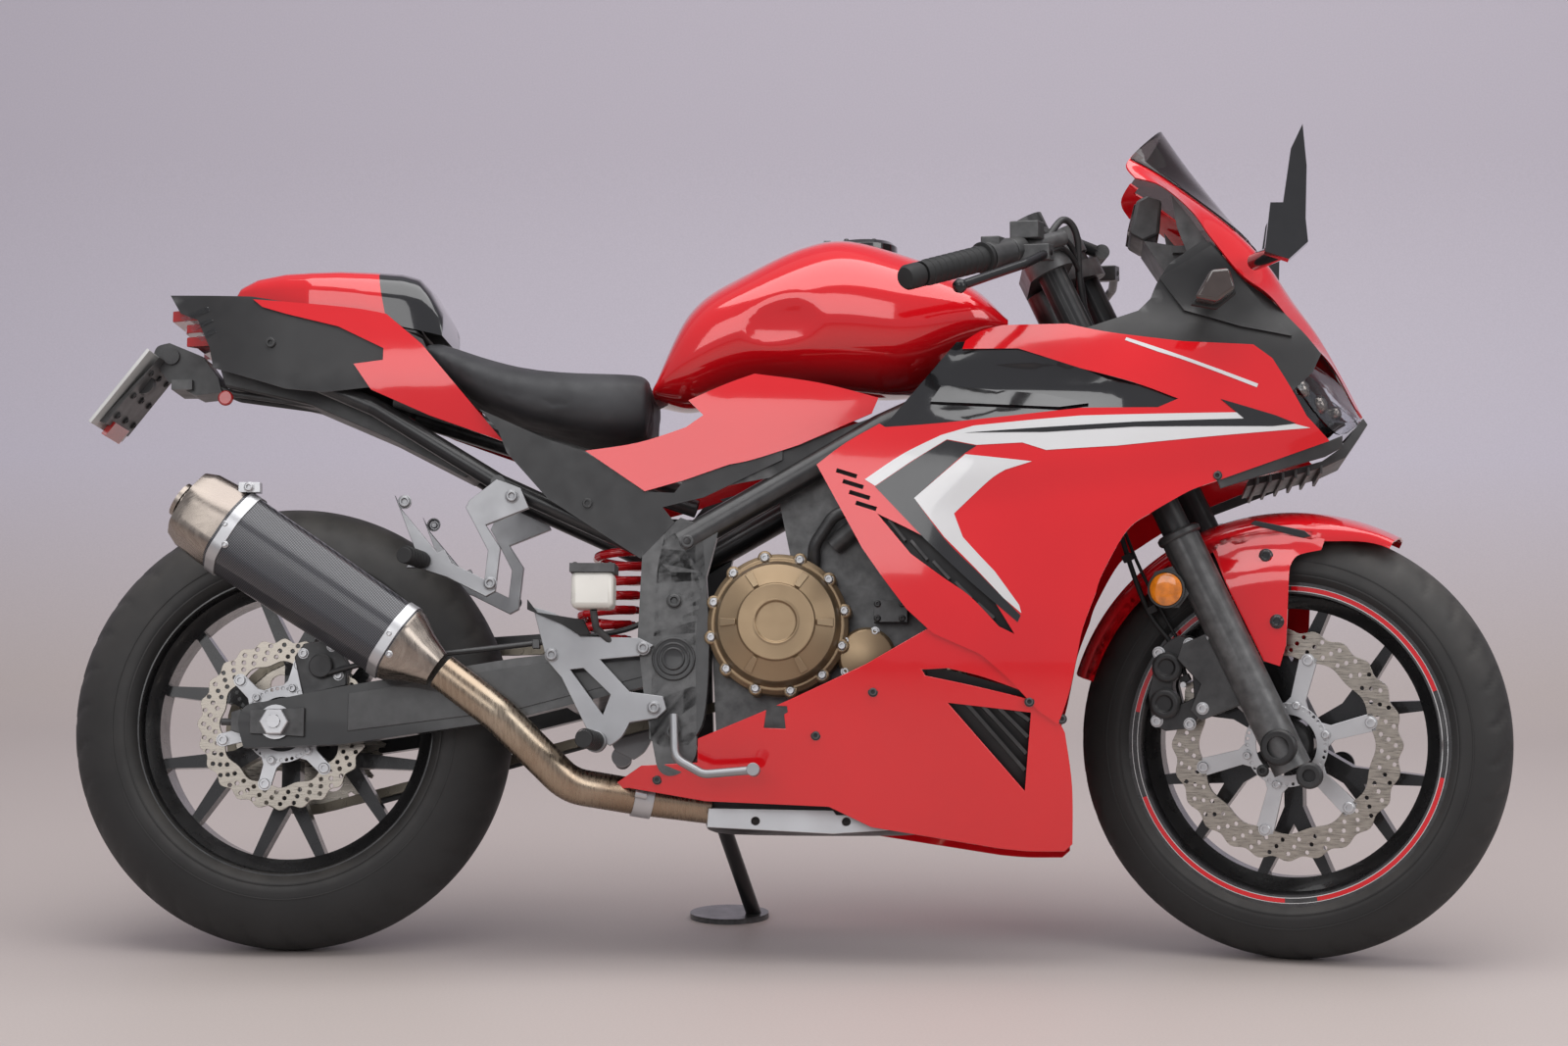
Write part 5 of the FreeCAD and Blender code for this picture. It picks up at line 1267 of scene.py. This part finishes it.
def build_chain():
    """Inner and outer plates in turn, with a pin at each joint."""
    path = chain_path()
    lengths, total = [0.0], 0.0
    for here, after in zip(path, path[1:] + path[:1]):
        total += (after - here).length
        lengths.append(total)
    count = 2 * round(total / LINK / 2)

    def on_path(distance):
        distance %= total
        for index, after in enumerate(lengths[1:]):
            if distance <= after:
                share = (distance - lengths[index]) / (after - lengths[index] + 1e-9)
                return path[index].lerp(path[(index + 1) % len(path)], share)
        return path[0]

    pins = [on_path(total * index / count) for index in range(count)]
    chain = Form()
    for index, here in enumerate(pins):
        after = pins[(index + 1) % count]
        along = (after - here).normalized()
        across = Vector((-along.y, along.x))
        wide = index % 2 == 0
        loop = []
        for centre, way in ((here, -1), (after, 1)):
            for step in range(7):
                angle = math.pi * (step / 6 - 0.5)
                loop.append(centre + (along * math.cos(angle) * way + across * math.sin(angle) * way) * 6.6)
        loop = [(p.x, p.y) for p in loop]
        for y in ((-6.4, 4.9) if wide else (-4.6, 3.1)):
            flat = [(x, CHAIN_Y + y, z) for x, z in loop] + [(x, CHAIN_Y + y + 1.5, z) for x, z in loop]
            total_points = len(loop)
            chain.add(flat, [tuple(range(total_points)), tuple(reversed(range(total_points, 2 * total_points)))]
                      + [(i, (i + 1) % total_points, total_points + (i + 1) % total_points, total_points + i)
                         for i in range(total_points)])
        chain.rod((here.x, CHAIN_Y - 7.2, here.y), (here.x, CHAIN_Y + 7.2, here.y), 3.6, steps=8)
    chain.piece("chain_links", ["chain_steel"], BIKE, "root", ["drive_chain"])


# Engine and exhaust

def build_lids():
    """The clutch cover, the small cover ahead of it and the generator's cover on the left."""
    cover, bolts = Form(), Form()
    centre = (696, -112, 448)
    cover.lathe([(97, 0), (97, 36), (91, 42), (87, 42), (84, 56), (80, 62), (54, 73), (52, 77), (33, 77),
                 (31, 78), (29, 78), (27, 75), (0, 75)], centre, steps=72)
    for x, z in circle(centre[0], centre[2], 93, 12, 0.2):
        cover.lathe([(10, 0), (10, 40), (8, 42), (0, 42)], (x, centre[1], z), steps=20)
        bolts.bolt((x, -153, z), radius=5.4, height=5)
    for step in range(6):
        angle = math.tau * step / 6
        c, s = math.cos(angle), math.sin(angle)
        a, b = Vector((c, 0, s)), Vector((-s, 0, c))
        near, far = Vector(centre) + a * 56 + Vector((0, -72, 0)), Vector(centre) + a * 78 + Vector((0, -63, 0))
        cover.thick([near - b * 4, near + b * 4, far + b * 6, far - b * 6], [(0, 1, 2, 3)], (0, -3, 0))
    cover.lathe([(40, 0), (40, 24), (36, 30), (20, 34), (0, 35)], (818, -118, 405), steps=48)
    for x, z in circle(818, 405, 36, 5):
        bolts.bolt((x, -145, z), radius=5, height=5)
    cover.lathe([(84, 0), (84, 24), (78, 32), (40, 40), (0, 42)], (692, 112, 440), (0, 1, 0), 64)
    cover.piece("engine_lids", ["bronze_casting"], BIKE, "root", ["engine_covers"], bevel=0.8)
    bolts.piece("lid_bolts", ["silver_casting"])


def build_fins():
    """The cylinders' fins, the hoses round them and the oil filler."""
    block = Form()
    block.lathe([(15, 0), (15, 14), (13, 18), (6, 18), (6, 22), (0, 22)], (655, -118, 520), steps=28)
    for row in range(9):
        z = 474 + row * 15
        lean = row * 5
        fin = [(750, 0), (742, 4), (742, 6), (866, 22), (872, 20), (872, 17)]
        block.plate([(x + lean, z + rise) for x, rise in fin], -108, 108)
    block.tube([(770, -118, 560), (800, -126, 585), (850, -128, 590), (905, -120, 560)], 14, 30)
    block.tube([(742, -116, 520), (744, -128, 560), (770, -132, 600), (840, -128, 630)], 9, 30)
    block.tube([(880, -116, 470), (905, -128, 500), (915, -128, 560), (900, -118, 620)], 11, 30)
    block.plate([(760, 600), (750, 640), (800, 690), (890, 700), (900, 650), (850, 615)], -104, 104)
    block.block((850, -126, 468), (46, 22, 30))
    for x, z in ((832, 458), (866, 458), (832, 478), (866, 478)):
        block.bolt((x, -137, z), radius=4, height=4)
    block.piece("engine_fins", ["black_casting"], bevel=0.9)


def build_exhaust():
    """The headers, the collector box under the engine, the link pipe and its shield."""
    pipe = Form()
    pipe.tube([(600, -70, 203), (500, -86, 214), (412, -146, 226), (318, -186, 320), (240, -190, 378)],
              25, 70, 28)
    for side in (-1, 1):
        pipe.tube([(880, side * 52, 590), (940, side * 52, 560), (930, side * 52, 330),
                   (860, side * 42, 205)], 20, 60, 20)
    pipe.piece("pipes", ["exhaust_steel"], BIKE, "root", ["link_pipe", "exhaust_headers"], sharp=50)
    box = Form()
    rings = []
    for x, half, low, high in ((594, 40, 180, 224), (620, 92, 168, 232), (860, 96, 168, 236),
                               (905, 60, 178, 230)):
        rings.append(ring((x, 0, (low + high) / 2), half, (high - low) / 2, 3.4, 40))
    box.loft(smoothed_rings(rings, 5))
    box.piece("collector_box", ["black_casting"], sharp=50)
    shield = Form()
    shield.plate([(598, 172), (600, 198), (772, 196), (776, 190), (850, 188), (852, 170), (772, 164)],
                 -106, -101, [circle(x, 181, 6, 12) for x in (665, 790)])
    shield.rod((520, -83, 212), (494, -89, 216), 29)
    shield.rod((516, -118, 214), (500, -121, 217), 6)
    shield.bolt((512, -116, 238), radius=7, height=16)
    shield.piece("heat_shield", ["silver_casting"], bevel=0.8)


SILENCER_REAR, SILENCER_FRONT = Vector((-125, -190, 612)), Vector((232, -190, 380))


def silencer_ring(share, scale):
    """The silencer's section, a share of the way from its rear to its front."""
    along = (SILENCER_FRONT - SILENCER_REAR).normalized()
    up = Vector((0, 1, 0)).cross(along) * -1
    if up.z < 0:
        up = -up
    half_width, half_height = 54 * scale, 68 * scale
    shares = [(1, 0.32), (0.45, 0.92), (-0.45, 0.92), (-1, 0.32), (-0.95, -0.55), (0, -0.95), (0.95, -0.55)]
    corners = [(across * half_width, rise * half_height) for across, rise in shares]
    centre = SILENCER_REAR.lerp(SILENCER_FRONT, share)
    loop = []
    total = len(corners)
    for index in range(total):
        before, here, after = (Vector(corners[(index + k) % total]) for k in (-1, 0, 1))
        loop += corner_arc(here.lerp(before, 0.3), here, here.lerp(after, 0.3), 5)
    return [centre + Vector((0, point.x, 0)) + up * point.y for point in loop]


def silencer_part(form, *stations):
    """A length of the silencer, through pairs of its share of the way and its scale there."""
    form.loft([silencer_ring(share, scale) for share, scale in stations])


def build_silencer():
    """A woven sleeve between metal ends, held by two straps."""
    sleeve = Form()
    silencer_part(sleeve, (0.17, 0.96), (0.18, 0.98), (0.5, 0.95), (0.85, 0.885), (0.86, 0.87))
    sleeve.piece("sleeve", ["carbon"], BIKE, "root", ["silencer_sleeve"], sharp=28)
    caps = Form()
    along = SILENCER_FRONT - SILENCER_REAR
    silencer_part(caps, (0.015, 0.62), (0.02, 0.80), (0.06, 0.92), (0.15, 0.975), (0.175, 0.975))
    caps.lathe([(25, -8), (25, -14), (21, -14), (21, 18), (0, 18)], SILENCER_REAR + along * 0.02, along, 40)
    silencer_part(caps, (0.855, 0.885), (0.87, 0.86), (0.93, 0.62), (1.0, 0.42))
    caps.piece("silencer_ends", ["cap_metal"], BIKE, "root", ["silencer_caps"], sharp=40)
    straps = Form()
    for first, last, scale in ((0.185, 0.222, 1.015), (0.815, 0.85, 0.925)):
        silencer_part(straps, (first, scale), (last, scale))
    place = SILENCER_REAR.lerp(SILENCER_FRONT, 0.2)
    straps.block(place + Vector((26, -20, 62)), (30, 16, 14))
    straps.bolt(place + Vector((26, -28, 62)), radius=6, height=6)
    for share, scale in ((0.20, 0.98), (0.84, 0.89)):
        for drop in (-20, 8):
            straps.bolt(SILENCER_REAR.lerp(SILENCER_FRONT, share) + Vector((0, -53 * scale, drop)),
                        radius=4, height=3)
    straps.piece("silencer_straps", ["silver_casting"], bevel=1)


# Footrests, frame and swingarm details

def build_hangers():
    """The silver hanger plates on both sides, the brake pedal and the rubber of the footrests."""
    hangers, rubber = Form(), Form()
    rider = [(359, 470), [(388, 462), (405, 451)], (425, 430), (506, 428), (526, 418), (506, 403), (453, 398),
             (494, 354), (540, 348), (545, 330), (532, 318), (495, 312), [(484, 292), (468, 280)], (441, 293),
             (400, 373), (379, 397)]
    hangers.plate(rider, -158, -148, [[(430, 386), (468, 350), (458, 322), (412, 384)]])
    for x, z in ((512, 414), (528, 332), (386, 404)):
        hangers.bolt((x, -158, z), radius=8, height=6)
    hangers.tube([(556, -165, 322), (560, -183, 262), (600, -187, 240), (668, -191, 246)], 6, 24)
    hangers.rod((668, -180, 246), (668, -206, 246), 9)
    hangers.rod((450, -158, 285), (449, -172, 285), 15)
    pillion = [(157, 630), (167, 610), (219, 549), (232, 555), (262, 622), (300, 652), (334, 640), (346, 612),
               (286, 588),
               (307, 556), (301, 495), (288, 488), (233, 515), (192, 528), (176, 528), (190, 548)]
    hollow = [(222, 566), (252, 622), (272, 586), (290, 552), (286, 512), (240, 534)]
    hangers.plate(pillion, -125, -114, [hollow])
    for x, z in ((172, 620), (322, 628), (294, 506)):
        hangers.bolt((x, -125, z), radius=8, height=6)
    hangers.mirror()
    hangers.piece("hanger_plates", ["hanger_silver"], bevel=1.4)
    rubber.rod((449, -172, 285), (442, -242, 283), 12)
    for step in range(6):
        rubber.lathe([(13.4, 0), (13.4, 5), (12, 5)], (449 - step * 1.1, -178 - 10.5 * step, 285),
                     (-0.1, -1, 0), 24)
    rubber.rod((200, -126, 538), (186, -203, 536), 11)
    for step in range(6):
        rubber.lathe([(12.4, 0), (12.4, 5), (11, 5)], (198 - step * 2, -134 - 11 * step, 538),
                     (-0.18, -1, 0), 24)
    rubber.mirror()
    rubber.plate([(352, 480), (366, 462), (430, 452), (440, 432), (426, 430), (400, 446), (352, 466)],
                 -166, -159)
    rubber.piece("footrests", ["rubber"], BIKE, "root", ["rider_pegs", "passenger_pegs"], bevel=0.8)


def build_rear_brake():
    """The fluid reservoir with its lid and hose, and the rear caliper."""
    bottle = Form()
    bottle.block((445, -178, 490), (58, 46, 50))
    bottle.piece("reservoir_tub", ["fluid_plastic"], BIKE, "root", ["brake_reservoir"], bevel=7)
    lid = Form()
    lid.block((445, -178, 520), (62, 50, 12))
    for x in (421, 469):
        for y in (-196, -160):
            lid.bolt((x, y, 526), (0, 0, 1), 3, 2)
    lid.block((445, -152, 500), (20, 10, 50))
    lid.tube([(445, -178, 464), (448, -170, 440), (470, -150, 420)], 5, 12)
    lid.piece("reservoir_lid", ["black_plastic"], bevel=2)
    brake = Form()
    for y in (-100, -80):
        brake.plate([(17, 405), (30, 424), (72, 430), (92, 396), (92, 366), (30, 352)], y, y + 12)
    brake.rod((56, -100, 392), (56, -110, 392), 17)
    brake.piece("rear_caliper_body", ["black_casting"], BIKE, "root", ["rear_caliper"], bevel=2)
    pins = Form()
    for x, z in ((30, 410), (80, 380), (70, 420)):
        pins.bolt((x, -100, z), radius=6, height=5)
    pins.piece("rear_caliper_bolts", ["silver_casting"])


def build_frame_plate():
    """The cast plate over the pivot, with its ribbed cap."""
    caps = Form()
    caps.plate([(520, 290), (540, 278), (576, 282), [(596, 320), (602, 420), (596, 520)], (590, 585),
                (560, 596), (540, 580), [(528, 520), (524, 420)]], -146, -128)
    for step in range(3):
        rib = 30 - 7 * step
        caps.lathe([(rib, 0), (rib, 3), (rib - 2, 4), (rib - 4, 3), (0, 3)], (553, -146 - 2 * step, 400))
    for x, z in ((570, 562), (553, 300), (553, 480)):
        caps.bolt((x, -146, z), radius=9, height=7)
    caps.piece("frame_plate_right", ["black_frame"], bevel=3)


def build_swingarm_details():
    """The swingarm's pressed sides and hose, the chain's guards and the shock's spring."""
    arm = Form()
    for side in (-1, 1):
        arm.plate([(100, 300), (100, 352), (330, 390), (520, 412), (520, 380), (330, 330)],
                  side * 127, side * 129.5)
        arm.bolt((552, side * 127, 400), (0, side, 0), 14, 6)
    arm.tube([(60, -104, 380), (140, -118, 398), (330, -122, 420), (470, -118, 440), (520, -120, 460)],
             4, smooth=True)
    for x, z in ((180, 402), (360, 422)):
        arm.block((x, -122, z), (10, 12, 12))
    arm.piece("swingarm_details", ["black_frame"], bevel=1.4)
    guard = Form()
    guard.plate([(40, 428), (52, 448), [(200, 448), (420, 462)], (430, 452), [(200, 434), (60, 430)]], 84, 112)
    guard.plate([(500, 330), (504, 320), (250, 250), (120, 214), (100, 208), (100, 220), (250, 268)], 100, 106)
    guard.piece("guard_shell", ["black_plastic"], BIKE, "root", ["chain_guard"], bevel=1)
    shock = Form()
    turns, per_turn = 7, 16
    coil = [(430 + 42 * math.cos(a) * 0.9 + step * 0.35, 42 * math.sin(a), 420 + step * 1.3)
            for step, a in ((k, k * math.tau / per_turn) for k in range(per_turn * turns))]
    shock.tube(coil, 6.5, sides=10, smooth=False, bend=4)
    shock.piece("shock_spring", ["red_paint"], sharp=60)


# Cockpit

def build_cockpit():
    """Grips, switch cases and levers on both sides, and the cables ahead of the bars."""
    grips, switch, levers = Form(), Form(), Form()
    for side in (-1, 1):
        start, end = Vector((1118, side * 122, 1004)), Vector((985, side * 372, 941))
        along = (end - start).normalized()
        begin = end - along * 128
        grips.rod(begin, end, 17, steps=32)
        grips.lathe([(22, 0), (22, 5), (17, 6)], begin, along, 32)
        for step in range(9):
            grips.lathe([(18, 0), (18, 6), (17, 7)], begin + along * (14 + 12 * step), along, 32)
        grips.lathe([(15, 0), (17, 4), (17, 24), (14, 29), (8, 30), (0, 30)], end + along * 2, along, 32)
        case = begin - along * 26
        switch.rod(begin - along * 50, begin - along * 4, 19, 21, 24)
        switch.block(case + Vector((-6, 0, 16)), (26, 34, 16))
        switch.block(case + Vector((-20, side * 4, 4)), (12, 14, 12))
        switch.rod(begin - along * 74, begin - along * 52, 18, 18, 24)
        pivot = start + along * 92 + Vector((42, 0, -6))
        tip = end + Vector((54, side * 2, -18))
        bent = pivot.lerp(tip, 0.35) + Vector((10, 0, 0))
        levers.tube([pivot, bent, pivot.lerp(tip, 0.7) + Vector((4, 0, 0)), tip], 6.5, 40, 12)
        levers.lathe([(8, -6), (10, 0), (8, 6), (0, 8)], tip, along, 20)
        switch.block(pivot - Vector((18, 0, 0)), (44, 30, 22))
    grips.piece("grip_sleeves", ["rubber"], STEERED, "fork", ["grips"], sharp=40)
    switch.block((1085, -190, 1010), (40, 36, 24))
    cables = (
        (5, [(1100, -140, 1000), (1116, -110, 1030), (1130, -88, 1010), (1130, -70, 940), (1140, -50, 870)]),
        (4, [(1095, -160, 985), (1112, -130, 1008), (1126, -84, 985), (1132, -64, 920), (1150, -40, 860)]),
        (3.5, [(1100, -165, 975), (1118, -120, 990), (1130, -76, 960), (1136, -56, 900), (1150, -30, 850)]))
    for radius, points in cables:
        switch.tube(points, radius, smooth=True)
    switch.piece("switch_cases", ["black_casting"], STEERED, "fork", bevel=1.5)
    levers.piece("lever_blades", ["lever_black"], STEERED, "fork", ["hand_levers"], sharp=60)


build_fairings()
build_decals()
build_covers()
build_tank()
build_seat()
build_tail()
build_seat_cowl()
build_tail_end()
build_nose()
build_nose_sides()
build_lamps()
build_dash()
build_fender()
build_front_brake()
build_fork_trim()
build_axles()
tread("front_tread", "front_tyre", FRONT_WHEEL, "front_wheel", FRONT_RADIUS, 60, 34)
tread("rear_tread", "rear_tyre", REAR_WHEEL, "rear_wheel", REAR_RADIUS, 80, 34)
build_rim_trim("front_rim", FRONT_WHEEL, "front_wheel", 46, 212, 20)
build_rim_trim("rear_rim", REAR_WHEEL, "rear_wheel", 59, 212, 10)
build_disc("front", "front_disc", FRONT_WHEEL, "front_wheel", 160, 40, -62, 5, 52)
build_disc("rear", "rear_disc", REAR_WHEEL, "rear_wheel", 120, 34, -84, 5, 48)
build_sprocket()
build_chain()
build_lids()
build_fins()
build_exhaust()
build_silencer()
build_hangers()
build_rear_brake()
build_frame_plate()
build_swingarm_details()
build_cockpit()


# Stage, camera and light

def see_through_back(made):
    """The sheet shows from its front only, so a camera behind the wall looks through it."""
    back = made.add("ShaderNodeNewGeometry").outputs["Backfacing"]
    blend = made.add("ShaderNodeMixShader", Fac=back)
    made.put(blend.inputs[1], made.surface.outputs[0])
    made.put(blend.inputs[2], made.add("ShaderNodeBsdfTransparent").outputs[0])
    made.put(made.tree.nodes["Material Output"].inputs["Surface"], blend.outputs[0])


def stage_material(name, floor, wall, rise):
    """One tone on the floor that passes into the wall's tone as the sweep rises."""
    made = Shader(name)
    height = made.add("ShaderNodeSeparateXYZ", Vector=made.place).outputs["Z"]
    tone = made.mix(made.span(height, 0.0, 1.0, rise * 0.1, rise), floor, wall)
    speck = made.mix(made.span(made.noise(260.0, 4.0), 0.0, 1.0), rgb(0.94, 0.94, 0.94), rgb(1, 1, 1))
    product = made.add("ShaderNodeMix", data_type="RGBA", blend_type="MULTIPLY")
    made.put(product.inputs["Factor"], 1.0)
    made.put(product.inputs["A"], tone)
    made.put(product.inputs["B"], speck)
    made.set(Base_Color=product.outputs["Result"], Roughness=0.55)
    see_through_back(made)
    return made.material


def build_stage():
    """A floor that curves up into a back wall."""
    far, radius, top, side = 3.2, 1.2, 6.0, 9.0
    profile = [(-9.0, 0.0)]
    for step in range(25):
        angle = math.radians(90 * step / 24)
        profile.append((far - radius + radius * math.sin(angle), radius * (1 - math.cos(angle))))
    profile.append((far, top))
    mesh = bpy.data.meshes.new("backdrop")
    corners = [(x, y, z) for y, z in profile for x in (-side, side)]
    faces = [(2 * i, 2 * i + 1, 2 * i + 3, 2 * i + 2) for i in range(len(profile) - 1)]
    mesh.from_pydata(corners, [], faces)
    backdrop = bpy.data.objects.new("backdrop", mesh)
    bpy.context.scene.collection.objects.link(backdrop)
    for polygon in mesh.polygons:
        polygon.use_smooth = True
    mesh.materials.append(stage_material("backdrop", rgb(0.56, 0.49, 0.46), rgb(0.60, 0.56, 0.63), 0.5))


def area_light(name, place, target, size, power):
    """A soft rectangular lamp that points at its target."""
    light = bpy.data.lights.new(name, "AREA")
    light.shape = "RECTANGLE"
    light.size, light.size_y = size
    light.energy = power
    thing = bpy.data.objects.new(name, light)
    thing.location = place
    thing.rotation_euler = (Vector(target) - Vector(place)).to_track_quat("-Z", "Y").to_euler()
    bpy.context.scene.collection.objects.link(thing)


def build_camera():
    """The photograph's camera, placed from the rear tyre."""
    low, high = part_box("rear_tyre")
    camera = bpy.data.objects.new("camera", bpy.data.cameras.new("camera"))
    camera.location = ((low[0] + high[0]) / 2 + 1.024, (low[1] + high[1]) / 2 - 0.0649 - 4.927, 1.008)
    yaw, pitch, roll = math.radians(3.75), math.radians(4.64), math.radians(-0.12)
    forward = Vector((-math.sin(yaw) * math.cos(pitch), math.cos(yaw) * math.cos(pitch), -math.sin(pitch)))
    camera.rotation_euler = forward.to_track_quat("-Z", "Y").to_euler()
    camera.rotation_euler.rotate_axis("Z", roll)
    camera.data.lens = 82.3
    camera.data.sensor_width = 36
    camera.data.clip_end = 60
    bpy.context.scene.collection.objects.link(camera)
    bpy.context.scene.camera = camera


def build_light():
    """Soft light from above, from behind the camera and from the nose's side."""
    area_light("overhead", (0.2, -0.6, 3.6), (0, 0, 0.3), (4.5, 3.0), 105)
    area_light("front_fill", (-1.5, -4.5, 2.6), (0, 0, 0.6), (3.5, 2.0), 42)
    area_light("nose_side", (3.6, -2.2, 2.2), (0.4, 0, 0.7), (2.0, 2.0), 34)
    world = bpy.data.worlds.new("world")
    bpy.context.scene.world = world
    world.use_nodes = True
    background = world.node_tree.nodes["Background"]
    background.inputs["Color"].default_value = rgb(0.80, 0.80, 0.86)
    background.inputs["Strength"].default_value = 0.5




build_stage()
build_camera()
build_light()
bpy.context.scene.view_settings.view_transform = "Standard"
